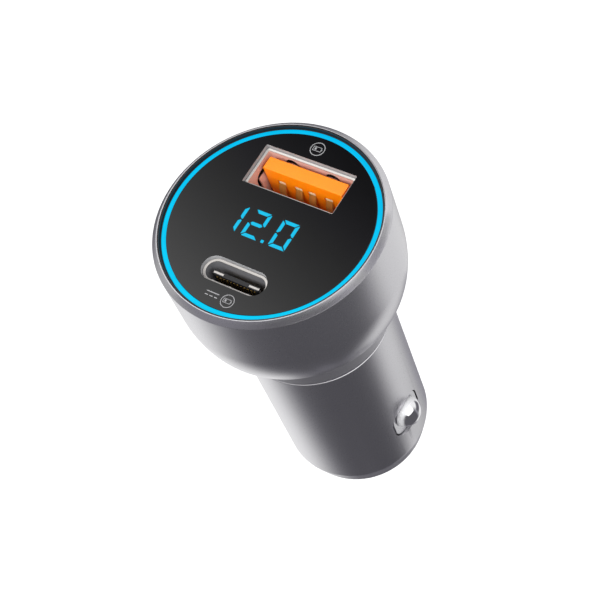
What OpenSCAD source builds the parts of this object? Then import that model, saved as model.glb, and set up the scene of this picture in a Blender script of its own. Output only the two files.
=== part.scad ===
// Car charger plug with two ports, a voltage display and a lit ring.
// The axis is Z. The origin is on the axis, in the plane of the head's underside,
// which stops against the mouth of the car's socket. The face looks up.

/* [Head] */
// Diameter of the head, which stays outside the socket
head_d = 30; // [29:0.5:34]
// Height of the head above its underside
head_h = 17.2; // [17:0.1:20]
// Wall thickness of the head
head_wall = 1.3; // [1:0.1:1.5]
// Height of the rounded lower edge
head_round_h = 8.2; // [6:0.1:10]
// Width of the flat ring under the head, which stops against the socket's mouth
stop_w = 0.87; // [0.6:0.01:1.2]
// Width of the rim around the face
rim_w = 0.85; // [0.8:0.05:1]
// Chamfer on the outer edge of the rim
rim_chamfer = 0.7; // [0.3:0.05:0.75]
// Thickness of the floor that carries the round board
head_floor = 1.5; // [1:0.1:2]

/* [Neck and barrel] */
// Diameter of the barrel, which enters the socket
barrel_d = 21; // [20.6:0.1:21.2]
// How far the neck stands out beyond the barrel
neck_step = 0.1; // [0.1:0.01:0.15]
// Length of the neck below the head
neck_l = 5.5; // [4:0.1:8]
// Chamfer on the neck's lower edge
neck_chamfer = 0.2; // [0.1:0.05:0.3]
// Width of the dark seam between the neck and the barrel
seam_w = 0.15; // [0.1:0.05:0.3]
// Length of the barrel's straight part below the seam
barrel_l = 27.95; // [26:0.05:34]
// Wall thickness of the neck and the barrel
barrel_wall = 1.2; // [1:0.05:1.3]
// Chamfer on the barrel's upper edge
barrel_chamfer = 0.3; // [0.1:0.05:0.5]
// Length of the taper at the barrel's lower end
taper_l = 2.2; // [1.5:0.1:3]
// How much the taper takes off the radius
taper_w = 0.72; // [0.5:0.02:0.8]
// Length of the barrel's spigot inside the neck
spigot_l = 4; // [3:0.1:5]
// Wall thickness of that spigot
spigot_wall = 0.85; // [0.6:0.05:1]

/* [Face] */
// Depth of the face below the rim
face_recess = 0.53; // [0.3:0.01:0.8]
// Thickness of the glossy panel and of the lit ring
panel_t = 1; // [0.8:0.1:1.2]
// Thickness of the black frame's plate below the panel
frame_t = 1.2; // [1:0.1:1.6]
// Width of the frame's black lip outside the lit ring
lip_w = 0.31; // [0.25:0.01:0.5]
// Width of the lit ring
ring_w = 0.59; // [0.4:0.01:0.8]
// Radius of the four posts that hold the round board down
post_r = 1.1; // [0.8:0.1:1.2]
// Distance of each post from the centre line between the ports
post_y = 3.7; // [3.6:0.1:4.2]

/* [Large port] */
// Outer width of the shell
port_a_w = 13.1; // [13:0.05:13.2]
// Outer height of the shell
port_a_h = 5.72; // [5.6:0.02:5.8]
// Sheet thickness of the shell
port_a_wall = 0.3; // [0.25:0.01:0.32]
// Outer radius of the shell's folded corners
port_a_fold_r = 0.4; // [0.38:0.02:0.6]
// Corner radius of the cut-out for this port
mouth_r = 0.15; // [0.1:0.05:0.3]
// Depth of both shells' mouths below the face
port_recess = 0.65; // [0.5:0.05:0.8]
// Distance of the mouth's corners from the panel's edge
port_a_edge = 1.37; // [1.2:0.01:1.6]
// Width of the tongue
tongue_w = 11.2; // [10.8:0.1:11.3]
// Thickness of the tongue
tongue_t = 1.84; // [1.7:0.02:1.9]
// Gap between the tongue and the wall behind it
tongue_gap = 0.6; // [0.5:0.05:0.7]
// Depth of the tongue's end below the face
tongue_depth = 0.8; // [0.6:0.1:1.2]
// Depth of the moulded block that carries the tongue
tongue_base_h = 4; // [3:0.1:5]
// Width of a contact leaf
contact_w = 1; // [0.8:0.05:1.1]
// Thickness of a contact leaf
contact_t = 0.25; // [0.15:0.01:0.3]
// Depth of the leaf's free end below the face
contact_depth = 2.9; // [2.5:0.1:3.5]
// How far the leaf bows out of the tongue
contact_bow = 0.55; // [0.3:0.05:0.8]
// Height of the leaf's root above the moulded block
contact_root_h = 1.07; // [0.6:0.01:1.5]
// Distance of the inner pair of leaves from the port's centre
contact_in_x = 1; // [0.95:0.05:1.1]
// Distance of the outer pair of leaves from it
contact_out_x = 3.5; // [3.4:0.05:3.6]

/* [Shell springs] */
// Width of a window in the shell's long walls
window_w = 2.1; // [1.8:0.1:2.4]
// Width of a window in the shell's side walls
side_window_w = 2.4; // [2:0.1:2.6]
// Length of a window
window_l = 5.2; // [4:0.1:6]
// Depth of a window's edge below the face
window_depth = 1.05; // [1:0.05:1.5]
// Distance of the long walls' windows from the port's centre
window_x = 3; // [2.5:0.1:3.5]
// Gap between a spring leaf and its window
window_gap = 0.4; // [0.25:0.05:0.5]
// How far a spring leaf bends into the port
leaf_bend = 0.3; // [0.1:0.05:0.35]

/* [Small port] */
// Outer width of the shell
port_c_w = 8.94; // [8.8:0.02:9.1]
// Outer height of the shell
port_c_h = 3.16; // [3.1:0.02:3.3]
// Sheet thickness of the shell
port_c_wall = 0.3; // [0.25:0.01:0.35]
// Distance of the opening's round ends from the panel's edge
port_c_edge = 2.65; // [2.2:0.05:2.9]
// Height of the shell's lower end above the round board
port_c_stand = 3.57; // [3:0.01:4.5]
// Height of the moulded plug in the shell's lower end
port_c_plug_h = 2.5; // [2:0.1:3.5]
// Width of the tongue
blade_w = 6.7; // [6.5:0.05:6.9]
// Thickness of the tongue without its contacts
blade_t = 0.6; // [0.5:0.02:0.64]
// Depth of the tongue's end below the face
blade_depth = 1.1; // [0.8:0.1:1.5]
// Number of contacts on each side of the tongue
pad_count = 12; // [6:2:12]
// Distance from one contact to the next
pad_pitch = 0.5; // [0.45:0.01:0.52]
// Width of a contact
pad_w = 0.25; // [0.2:0.01:0.3]
// Thickness of a contact
pad_t = 0.05; // [0.03:0.01:0.08]
// Distance of the contacts from the tongue's end
pad_back = 0.4; // [0.2:0.05:0.8]
// Width of a shoulder of the steel plate inside the tongue
shoulder_w = 1.5; // [1:0.1:1.8]
// Thickness of that plate
shoulder_t = 0.34; // [0.2:0.02:0.4]

/* [Display] */
// Height of a digit, as a share of the space between the ports
digit_share = 0.374; // [0.32:0.002:0.38]
// Width of a digit, as a share of its height
digit_w_share = 0.6125; // [0.55:0.0025:0.625]
// Width of a stroke, as a share of the digit's height
stroke_share = 0.125; // [0.1:0.005:0.14]
// Half of the gap between strokes, as a share of that height
stroke_gap_share = 0.0175; // [0.01:0.0005:0.025]
// Distance from one digit's left edge to the next, as a share of that height
pitch_share = 1.0125; // [0.97:0.0025:1.05]
// How far the reading's middle stands above the middle between the ports
display_up = 0.35; // [0:0.05:0.5]
// Distance of the reading's end from the housing's middle, as a share of its width
right_share = 0.325; // [0.3:0.005:0.36]
// Height of the display's housing
display_h = 3.27; // [2:0.01:4]
// Depth of the strokes in the housing
well_depth = 0.67; // [0.4:0.01:1]

/* [Side contacts] */
// Height of the window in the barrel, along the barrel
side_win_h = 6.5; // [6:0.1:7]
// Width of the window, across the barrel
side_win_w = 6.3; // [5.6:0.1:6.5]
// Corner radius of the window
side_win_r = 2.4; // [1.5:0.1:2.6]
// Distance from the seam to the window's centre
side_win_z = 20.4; // [19.5:0.1:22]
// Radius of the polished dome
dome_r = 2.28; // [2:0.02:2.4]
// Depth of the pad's face below the barrel's highest line
pad_sink = 0.5; // [0.4:0.05:0.8]
// How far the dome stands out of the barrel at rest
dome_out = 1.9; // [1.2:0.05:2]
// Distance of the dome above the window's centre
dome_up = 0.8; // [0:0.05:0.8]
// Travel of a side contact
side_travel = 1.95; // [1.4:0.05:2]
// Thickness of the flange that keeps a contact in
side_flange_t = 0.8; // [0.6:0.05:1]
// How far the flange reaches behind the window's edge
side_flange_w = 0.7; // [0.4:0.05:0.8]
// Radius of the spring behind a side contact
side_spring_r = 1.6; // [1.2:0.05:1.7]
// Diameter of that spring's wire
side_wire_d = 0.4; // [0.3:0.02:0.5]
// Turns of that spring
side_turns = 7; // [5:1:8]

/* [Nose and tip] */
// Length of the nose below the barrel
nose_l = 3.8; // [3:0.1:5]
// Radius of the nose's flat end
nose_end_r = 5.6; // [5:0.1:6.5]
// Length of the nose's spigot inside the barrel
nose_spigot_l = 4.3; // [3.5:0.1:5]
// Radius of the tip pin
tip_r = 3.4; // [2.8:0.1:3.8]
// Travel of the tip
tip_travel = 2.3; // [1.5:0.1:2.4]
// How far the tip still stands out of the nose when it is pressed in
tip_pressed_out = 0.3; // [0.2:0.1:0.8]
// Radius of the tip's flange
tip_flange_r = 4.7; // [4.4:0.1:5]
// Thickness of the tip's flange
tip_flange_t = 1; // [0.8:0.1:1.4]
// Thickness of the nose below the flange
nose_floor = 2.4; // [2:0.1:3]
// Radius of the tip's spring
tip_spring_r = 3.6; // [3:0.1:4]
// Diameter of that spring's wire
tip_wire_d = 0.5; // [0.4:0.05:0.6]
// Turns of that spring
tip_turns = 4; // [3:0.5:4.5]

/* [Boards and their parts] */
// Thickness of the round board under the ports
round_board_t = 1; // [0.8:0.1:1.6]
// Thickness of the power board, which stands in the barrel
power_board_t = 1.2; // [1:0.1:1.6]
// Thickness of the boards of the display and of the lit ring
small_board_t = 0.8; // [0.6:0.1:1]
// Width of the lit ring's board
ring_board_w = 1.4; // [1.2:0.1:1.6]
// Number of lamps under the lit ring
lamp_count = 12; // [8:1:14]
// Depth of the coil's centre below the seam
coil_depth = 7.5; // [7:0.1:8]
// Side of the coil's square body
coil_side = 7; // [5:0.1:8]
// Height of the coil above the board
coil_h = 4; // [3:0.1:4.5]
// Radius of the two capacitor cans
can_r = 3.15; // [2.5:0.05:3.4]
// Depth of the larger can's centre below the seam
long_can_depth = 9; // [8:0.1:9.5]
// Length of the larger can
long_can_l = 8; // [6:0.1:8.5]
// Depth of the smaller can's centre below the seam
short_can_depth = 0.5; // [0:0.1:1]
// Length of the smaller can
short_can_l = 5.5; // [4:0.1:6]
// Height of the controller's centre above the seam
chip_up = 1.4; // [1:0.1:1.8]
// Length of the controller across the board
chip_l = 5; // [4:0.1:6]
// Width of the controller along the board
chip_w = 4; // [3:0.1:4.2]
// Thickness of the controller
chip_t = 1.2; // [0.8:0.1:1.6]
// Depth of the row of small capacitors below the seam
row_depth = 1.8; // [1.6:0.1:2.2]
// Length of a small capacitor across the board
small_cap_l = 1.6; // [1:0.1:1.8]
// Width and height of a small capacitor
small_cap_w = 0.8; // [0.5:0.1:1]
// Distance from one small capacitor to the next
small_cap_pitch = 2.4; // [2:0.1:2.6]
// Depth of the fuse and the switch chip below the seam
fuse_depth = 13.1; // [12.9:0.1:13.3]
// Length of the fuse across the board
fuse_l = 4.5; // [4:0.1:4.8]
// Width of the fuse along the board
fuse_w = 2.6; // [2:0.1:3]
// Height of the fuse above the board
fuse_t = 2.2; // [1:0.1:2.4]
// Radius of a header pin
header_r = 0.3; // [0.2:0.02:0.35]

/* [Fits] */
// Gap around pieces that are glued or pressed into the face
fit_gap = 0.04; // [0.02:0.01:0.06]
// Gap around pieces that slide into the housing at assembly
slip_gap = 0.1; // [0.05:0.01:0.15]
// Gap around pieces that move
run_gap = 0.15; // [0.1:0.01:0.2]

/* [Hidden] */
$fn = 96;
over = 1;

// Radii of the head, the neck and the barrel
head_r = head_d / 2;
rim_r = head_r - rim_w;
barrel_r = barrel_d / 2;
neck_r = barrel_r + neck_step;
head_round_w = head_r - neck_r - stop_w;
bore_r = barrel_r - barrel_wall;
spigot_r = bore_r - fit_gap;
spigot_bore_r = spigot_r - spigot_wall;

// Heights in the head
face_z = head_h - face_recess;
plate_z = face_z - panel_t;
ledge_z = plate_z - frame_t;
round_board_z = head_floor + round_board_t;
cavity_r = head_r - head_wall;

// Radii of the face
frame_r = rim_r - fit_gap;
ring_outer_r = frame_r - lip_w;
ring_inner_r = ring_outer_r - ring_w;
panel_r = ring_inner_r - fit_gap;
ring_board_r = cavity_r - slip_gap;
ring_board_in_r = ring_board_r - ring_board_w;
post_at_r = ring_board_in_r - post_r - slip_gap;
round_board_r = head_inner_r(head_floor) - slip_gap;

// Heights along the barrel
seam_z = -neck_l - seam_w;
barrel_end_z = seam_z - barrel_l;
taper_end_z = barrel_end_z - taper_l;
nose_end_z = taper_end_z - nose_l;
carrier_z = taper_end_z + nose_spigot_l;
window_z = seam_z - side_win_z;
dome_z = window_z + dome_up;

// The side contact, along X
dome_x = barrel_r + dome_out - dome_r;
pad_front_x = barrel_r - pad_sink;
flange_w = side_win_w + 2 * side_flange_w;
flange_h = side_win_h + 2 * side_flange_w;
flange_front_x = sqrt(pow(bore_r, 2) - pow(flange_w / 2, 2)) - run_gap;
flange_back_x = flange_front_x - side_flange_t;
pocket_x = flange_back_x - side_travel - run_gap;
spring_seat_x = pad_front_x - 0.65;
ground_pad_t = 0.6;
ground_pad_r = side_spring_r + 0.3;
ground_pad_x = power_board_t / 2 + ground_pad_t;

// The carrier that holds the side contacts and the board's end
carrier_r = bore_r - slip_gap;
carrier_top_z = window_z + flange_h / 2 + 1.6;
terminal_t = 0.6;
terminal_z = carrier_z + terminal_t;
terminal_r = tip_spring_r + tip_wire_d / 2 + 0.4;
prong_w = 3;
prong_t = 0.5;
prong_l = window_z - ground_pad_r - 0.4 - terminal_z;
power_board_z = terminal_z + 0.6;
power_board_w = 2 * (spigot_bore_r - 0.4);

// The tip
tip_out = tip_travel + tip_pressed_out;
nose_ledge_z = nose_end_z + nose_floor;
tip_flange_z = nose_ledge_z + run_gap;
tip_top_z = tip_flange_z + tip_flange_t;
nose_cavity_r = tip_flange_r + run_gap;

// The large port, whose mouth has its corners a set distance from the panel's edge
mouth_w = port_a_w + 2 * slip_gap;
mouth_h = port_a_h + 2 * slip_gap;
port_a_y = sqrt(pow(panel_r - port_a_edge, 2) - pow(mouth_w / 2, 2)) - mouth_h / 2;
port_a_mouth_z = face_z - port_recess;
fold_in_r = port_a_fold_r - port_a_wall;
port_a_back_y = port_a_y + port_a_h / 2 - port_a_wall;
tongue_back_y = port_a_back_y - tongue_gap;
tongue_front_y = tongue_back_y - tongue_t;
tongue_end_z = face_z - tongue_depth;
tongue_base_z = round_board_z + tongue_base_h;
contact_slot_t = contact_t + 0.05;
contact_xs = [-contact_out_x, -contact_in_x, contact_in_x, contact_out_x];
contact_tip_z = face_z - contact_depth;
contact_root_z = tongue_base_z + contact_root_h;

// The small port, whose opening's ends are a set distance from the panel's edge
hole_c_w = port_c_w + 2 * slip_gap;
hole_c_h = port_c_h + 2 * slip_gap;
port_c_y = sqrt(pow(panel_r - port_c_edge - hole_c_h / 2, 2)
                - pow((hole_c_w - hole_c_h) / 2, 2));
port_c_mouth_z = face_z - port_recess;
port_c_foot_z = round_board_z + port_c_stand;
port_c_l = port_c_mouth_z - port_c_foot_z;
blade_end_z = face_z - blade_depth;
blade_base_z = port_c_foot_z + port_c_plug_h;
pad_l = (blade_end_z - blade_base_z) * 0.6;
base_pocket_h = port_c_plug_h + 0.5;

// The display, which keeps its proportions in the space between the two shells
port_space = port_a_y - port_a_h / 2 + port_c_y - port_c_h / 2;
display_y = (port_c_y - port_c_h / 2 - port_a_y + port_a_h / 2) / 2 - display_up;
digit_h = digit_share * port_space;
digit_w = digit_w_share * digit_h;
stroke_w = stroke_share * digit_h;
stroke_gap = stroke_gap_share * digit_h;
digit_pitch = pitch_share * digit_h;
display_w = 3 * digit_h;
display_l = 1.4 * digit_h;

// Which strokes are lit, from a to g, and where the last digit ends
ONE = [1, 2];
TWO = [0, 1, 6, 4, 3];
ZERO = [0, 1, 2, 3, 4, 5];
display_right = right_share * display_w;
dot_side = 0.9 * stroke_w;

// Pins between the boards
ring_pin_x = ring_board_in_r - 1.6;
ring_pin_y = 1.27;
tab_w = 2 * ring_pin_y + 1.6;
tab_l = 5;
display_pin_xs = [for (i = [-2.5 : 2.5]) i * display_w / 6];

// Outer radius of the head at a height, and the inner radius that follows it
function head_outer_r(z) =
    z >= head_round_h ? head_r
    : head_r - head_round_w
        + head_round_w * sqrt(1 - pow((head_round_h - z) / head_round_h, 2));
function head_inner_r(z) = head_outer_r(z) - head_wall;

// Points along the head's rounded edge, from its top down or from the floor up
function head_round(steps) = [
    for (i = [0 : steps])
        let (a = 90 * i / steps)
        [head_r - head_round_w * (1 - cos(a)), head_round_h * (1 - sin(a))]
];
function head_hollow(steps) = [
    for (i = [0 : steps])
        let (z = head_floor + (head_round_h - head_floor) * i / steps)
        [head_inner_r(z), z]
];

// One stroke of a digit: 0 top, 1 and 2 right, 3 bottom, 4 and 5 left, 6 middle
function mirror_up(points) = [for (p = points) [p[0], digit_h - p[1]]];
function mirror_side(points) = [for (p = points) [digit_w - p[0], p[1]]];
function stroke_top() = [
    [stroke_gap, digit_h], [digit_w - stroke_gap, digit_h],
    [digit_w - stroke_w - stroke_gap, digit_h - stroke_w],
    [stroke_w + stroke_gap, digit_h - stroke_w]
];
function stroke_upper_right() = [
    [digit_w, digit_h - stroke_gap], [digit_w, digit_h / 2 + stroke_gap],
    [digit_w - stroke_w / 2, digit_h / 2 + stroke_gap],
    [digit_w - stroke_w, digit_h / 2 + stroke_w / 2 + stroke_gap],
    [digit_w - stroke_w, digit_h - stroke_w - stroke_gap]
];
function stroke_middle() = [
    [stroke_w / 2 + stroke_gap, digit_h / 2],
    [stroke_w + stroke_gap, digit_h / 2 + stroke_w / 2],
    [digit_w - stroke_w - stroke_gap, digit_h / 2 + stroke_w / 2],
    [digit_w - stroke_w / 2 - stroke_gap, digit_h / 2],
    [digit_w - stroke_w - stroke_gap, digit_h / 2 - stroke_w / 2],
    [stroke_w + stroke_gap, digit_h / 2 - stroke_w / 2]
];
function stroke(i) =
    i == 0 ? stroke_top()
    : i == 1 ? stroke_upper_right()
    : i == 2 ? mirror_up(stroke_upper_right())
    : i == 3 ? mirror_up(stroke_top())
    : i == 4 ? mirror_side(mirror_up(stroke_upper_right()))
    : i == 5 ? mirror_side(stroke_upper_right())
    : stroke_middle();

// A rectangle with round corners
module round_rect(w, h, r) {
    square([w - 2 * r, h], center = true);
    square([w, h - 2 * r], center = true);
    for (x = [-1, 1], y = [-1, 1])
        translate([x * (w / 2 - r), y * (h / 2 - r)]) circle(r);
}

// A slot outline with half-round ends
module obround(w, h) {
    square([w - h, h], center = true);
    for (x = [-1, 1])
        translate([x * (w - h) / 2, 0]) circle(h / 2);
}

// Turns an outline so that it is extruded outwards along X, its first axis across Y
module along_x(from_x, to_x) {
    translate([from_x, 0, 0])
        rotate([90, 0, 90])
            linear_extrude(to_x - from_x) children();
}

// A round-wire spring along Z, as one swept tube
module coil_spring(radius, wire_d, from_z, to_z, turns) {
    sides = 6;
    per_turn = 18;
    steps = turns * per_turn;
    rise = to_z - from_z - wire_d;
    lean = atan(rise / turns / (2 * PI * radius));
    points = [
        for (i = [0 : steps])
            let (a = 360 * i / per_turn, z = from_z + wire_d / 2 + rise * i / steps)
            for (k = [0 : sides - 1])
                let (b = 360 * k / sides,
                     out = radius + wire_d / 2 * cos(b),
                     up = wire_d / 2 * sin(b))
                [out * cos(a) + up * sin(lean) * sin(a),
                 out * sin(a) - up * sin(lean) * cos(a),
                 z + up * cos(lean)]
    ];
    walls = [
        for (i = [0 : steps - 1], k = [0 : sides - 1])
            let (n = (k + 1) % sides)
            [i * sides + k, (i + 1) * sides + k, (i + 1) * sides + n, i * sides + n]
    ];
    first_end = [for (k = [0 : sides - 1]) k];
    last_end = [for (k = [sides - 1 : -1 : 0]) steps * sides + k];
    polyhedron(points, concat(walls, [first_end, last_end]));
}

// Turned metal head with the neck below it, open at the top for the face
module head_shell() {
    color("silver")
    rotate_extrude()
        polygon(concat(
            [[rim_r, head_h], [head_r - rim_chamfer, head_h], [head_r, head_h - rim_chamfer]],
            head_round(20),
            [[neck_r, 0], [neck_r, -neck_l + neck_chamfer], [neck_r - neck_chamfer, -neck_l],
             [bore_r, -neck_l], [bore_r, head_floor]],
            head_hollow(14),
            [[cavity_r, ledge_z], [rim_r, ledge_z]]
        ));
}

// Turned metal barrel: a spigot for the neck, two windows and a tapered end
module barrel_shell() {
    color("silver")
    difference() {
        rotate_extrude()
            polygon([
                [spigot_bore_r, seam_z + spigot_l], [spigot_r, seam_z + spigot_l],
                [spigot_r, seam_z], [barrel_r - barrel_chamfer, seam_z],
                [barrel_r, seam_z - barrel_chamfer], [barrel_r, barrel_end_z],
                [barrel_r - taper_w, taper_end_z], [bore_r, taper_end_z],
                [bore_r, seam_z - 1.2], [spigot_bore_r, seam_z - 1.2]
            ]);
        translate([0, 0, window_z])
            along_x(-barrel_r - over, barrel_r + over)
                round_rect(side_win_w, side_win_h, side_win_r);
    }
}

// Black moulded nose that closes the barrel and guides the tip
module nose_cap() {
    nose_r = barrel_r - taper_w - 0.15;
    color("dimgray")
    rotate_extrude()
        polygon(concat(
            [[carrier_r, carrier_z], [carrier_r, taper_end_z]],
            [for (i = [0 : 10])
                let (a = 90 * i / 10)
                [nose_end_r + (nose_r - nose_end_r) * cos(a), taper_end_z - nose_l * sin(a)]],
            [[tip_r + run_gap, nose_end_z], [tip_r + run_gap, nose_ledge_z],
             [nose_cavity_r, nose_ledge_z], [nose_cavity_r, carrier_z]]
        ));
}

// Plated tip pin: round end, flange that keeps it in and a spigot for its spring
module tip_pin() {
    dome_h = 1;
    end_z = nose_end_z - tip_out;
    color("gainsboro")
    rotate_extrude()
        polygon(concat(
            [[0, tip_top_z + 1], [tip_spring_r - tip_wire_d / 2 - 0.3, tip_top_z + 1],
             [tip_spring_r - tip_wire_d / 2 - 0.3, tip_top_z], [tip_flange_r, tip_top_z],
             [tip_flange_r, tip_flange_z], [tip_r, tip_flange_z]],
            [for (i = [0 : 8])
                let (a = 90 * i / 8)
                [tip_r - dome_h + dome_h * cos(a), end_z + dome_h * (1 - sin(a))]],
            [[0, end_z]]
        ));
}

// Spring between the tip and its terminal
module tip_spring() {
    color("lightsteelblue")
    coil_spring(tip_spring_r, tip_wire_d, tip_top_z + 0.02, carrier_z - 0.02, tip_turns);
}

// Brass terminal: a disc for the tip's spring with two prongs that grip the board
module tip_terminal() {
    color("goldenrod") {
        translate([0, 0, carrier_z]) cylinder(h = terminal_t, r = terminal_r);
        for (side = [-1, 1])
            translate([side * (power_board_t + prong_t) / 2, 0, terminal_z + prong_l / 2])
                cube([prong_t, prong_w, prong_l + 0.02], center = true);
    }
}

// One side contact as it stands on the right: a dome on a pad, kept in by a flange
module side_contact() {
    difference() {
        union() {
            translate([0, 0, window_z]) {
                along_x(flange_back_x, flange_front_x)
                    round_rect(flange_w, flange_h, side_win_r + side_flange_w);
                along_x(flange_back_x, pad_front_x)
                    round_rect(side_win_w - 2 * run_gap, side_win_h - 2 * run_gap,
                               side_win_r - run_gap);
            }
            intersection() {
                translate([dome_x, 0, dome_z]) sphere(dome_r);
                translate([pad_front_x - 0.3, -dome_r - over, dome_z - dome_r - over])
                    cube([2 * dome_r + over, 2 * (dome_r + over), 2 * (dome_r + over)]);
            }
        }
        translate([flange_back_x - over, 0, window_z])
            rotate([0, 90, 0])
                cylinder(h = spring_seat_x - flange_back_x + over, r = side_spring_r + 0.4);
    }
}
module side_contact_right() {
    color("gainsboro") side_contact();
}
module side_contact_left() {
    color("gainsboro") mirror([1, 0, 0]) side_contact();
}

// The springs that push the side contacts out
module side_spring() {
    translate([0, 0, window_z])
        rotate([0, 90, 0])
            coil_spring(side_spring_r, side_wire_d, ground_pad_x + 0.02, spring_seat_x - 0.02,
                        side_turns);
}
module side_spring_right() {
    color("lightsteelblue") side_spring();
}
module side_spring_left() {
    color("lightsteelblue") rotate([0, 0, 180]) side_spring();
}

// Brass pads on both faces of the power board, under the side contacts' springs
module ground_pads() {
    color("goldenrod")
    for (side = [-1, 1])
        translate([side * (power_board_t + ground_pad_t) / 2, 0, window_z])
            rotate([0, 90, 0])
                cylinder(h = ground_pad_t, r = ground_pad_r, center = true);
}

// Moulded carrier: guides both side contacts and holds the board's lower end
module contact_carrier() {
    color("whitesmoke")
    difference() {
        translate([0, 0, carrier_z])
            cylinder(h = carrier_top_z - carrier_z, r = carrier_r);
        translate([0, 0, carrier_z - over])
            cylinder(h = terminal_t + over, r = terminal_r + slip_gap);
        translate([-power_board_t / 2 - slip_gap, -power_board_w / 2 - slip_gap, carrier_z + terminal_t])
            cube([power_board_t + 2 * slip_gap, power_board_w + 2 * slip_gap,
                  carrier_top_z - carrier_z]);
        translate([0, 0, carrier_z + prong_l / 2 + terminal_t])
            cube([power_board_t + 2 * (prong_t + slip_gap), prong_w + 2 * slip_gap,
                  prong_l + 2 * slip_gap], center = true);
        for (turn = [0, 180])
            rotate([0, 0, turn])
                translate([0, 0, window_z]) {
                    along_x(pocket_x, barrel_r)
                        round_rect(flange_w + 2 * run_gap, flange_h + 2 * run_gap,
                                   side_win_r + side_flange_w + run_gap);
                    rotate([0, 90, 0]) cylinder(h = barrel_r, r = side_spring_r + 0.4);
                }
    }
}

// Black moulded frame: lip around the lit ring, plate under the panel and four posts
module face_frame() {
    color("dimgray")
    difference() {
        union() {
            translate([0, 0, ledge_z]) cylinder(h = frame_t, r = frame_r);
            translate([0, 0, plate_z - 0.1])
                difference() {
                    cylinder(h = face_z - plate_z + 0.1, r = frame_r);
                    translate([0, 0, -over]) cylinder(h = panel_t + 2 * over, r = ring_outer_r);
                }
            for (side = [-1, 1], y = [-post_y, post_y])
                translate([side * sqrt(pow(post_at_r, 2) - pow(y, 2)), y, round_board_z])
                    cylinder(h = ledge_z - round_board_z + 0.1, r = post_r);
        }
        translate([0, port_a_y, ledge_z - over])
            linear_extrude(frame_t + 2 * over)
                round_rect(mouth_w, mouth_h, mouth_r);
        translate([0, -port_c_y, ledge_z - over])
            linear_extrude(frame_t + 2 * over) obround(hole_c_w, hole_c_h);
        translate([0, -display_y, ledge_z - over])
            linear_extrude(frame_t + 2 * over)
                square([display_w + 2 * slip_gap, display_l + 2 * slip_gap], center = true);
        for (i = [0 : lamp_count - 1])
            rotate([0, 0, 360 * (i + 0.5) / lamp_count])
                translate([lamp_at_r() - 0.5, -0.95, ledge_z - over])
                    cube([ring_outer_r - 0.1 - lamp_at_r() + 0.5, 1.9, frame_t + 2 * over]);
    }
}

// Milky ring that glows, lying on the frame around the panel
module light_ring() {
    color("deepskyblue")
    rotate_extrude()
        translate([ring_inner_r, plate_z]) square([ring_w - fit_gap, panel_t]);
}

// Glossy black panel, cut out for both ports and for the display's strokes
module face_panel() {
    color("black")
    translate([0, 0, plate_z])
        difference() {
            cylinder(h = panel_t, r = panel_r);
            translate([0, port_a_y, -over])
                linear_extrude(panel_t + 2 * over) round_rect(mouth_w, mouth_h, mouth_r);
            translate([0, -port_c_y, -over])
                linear_extrude(panel_t + 2 * over) obround(hole_c_w, hole_c_h);
            translate([0, 0, -over]) lit_strokes(panel_t + 2 * over);
        }
}

// The reading 12.0 as upright strokes with mitred ends, rising from z = 0
module digit(strokes, left) {
    for (i = strokes)
        translate([left, -display_y - digit_h / 2]) polygon(stroke(i));
}
module lit_strokes(height) {
    linear_extrude(height) {
        digit(ZERO, display_right - digit_w);
        digit(TWO, display_right - digit_w - digit_pitch);
        digit(ONE, display_right - 2 * digit_w - digit_pitch - 1.7 * stroke_w);
        translate([display_right - digit_w - 2.16 * stroke_w, -display_y - digit_h / 2])
            square(dot_side);
    }
}

// Clear strokes that carry the light from the housing up to the panel's surface
module display_segments() {
    color("deepskyblue")
    translate([0, 0, plate_z - well_depth]) lit_strokes(panel_t + well_depth);
}

// White display housing with a well for each lit stroke
module display_housing() {
    color("whitesmoke")
    difference() {
        translate([-display_w / 2, -display_y - display_l / 2, plate_z - display_h])
            cube([display_w, display_l, display_h]);
        translate([0, 0, plate_z - well_depth]) lit_strokes(well_depth + over);
    }
}

// Small board under the display
module display_board() {
    color("seagreen")
    translate([-display_w / 2 - 0.5, -display_y - display_l / 2 - 0.4,
               plate_z - display_h - small_board_t])
        cube([display_w + 1, display_l + 0.8, small_board_t]);
}

// Ring-shaped board under the frame's plate, with a tab on each side for its pins
module ring_board() {
    color("seagreen")
    translate([0, 0, ledge_z - small_board_t])
        difference() {
            cylinder(h = small_board_t, r = ring_board_r);
            difference() {
                translate([0, 0, -over])
                    cylinder(h = small_board_t + 2 * over, r = ring_board_in_r);
                for (side = [-1, 1])
                    translate([side * (ring_pin_x + tab_l / 2 - 1), 0, small_board_t / 2])
                        cube([tab_l, tab_w, small_board_t + 4 * over], center = true);
            }
        }
}

// Lamps on the ring board, each in its pocket under the lit ring
function lamp_at_r() = ring_board_r - 0.55;
module ring_lamps() {
    color("lightyellow")
    for (i = [0 : lamp_count - 1])
        rotate([0, 0, 360 * (i + 0.5) / lamp_count])
            translate([lamp_at_r() - 0.4, -0.8, ledge_z]) cube([0.8, 1.6, 0.6]);
}

// Header pins from the round board up to the display's board and the ring board
module header_pins() {
    color("goldenrod") {
        for (x = display_pin_xs)
            translate([x, -display_y, round_board_z])
                cylinder(h = plate_z - display_h - small_board_t - round_board_z, r = header_r);
        for (side = [-1, 1], y = [-1, 1])
            translate([side * ring_pin_x, y * ring_pin_y, round_board_z])
                cylinder(h = ledge_z - small_board_t - round_board_z, r = header_r);
    }
}

// Round board on the head's floor, which carries both ports
module round_board() {
    color("seagreen")
    translate([0, 0, head_floor]) cylinder(h = round_board_t, r = round_board_r);
}

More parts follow.
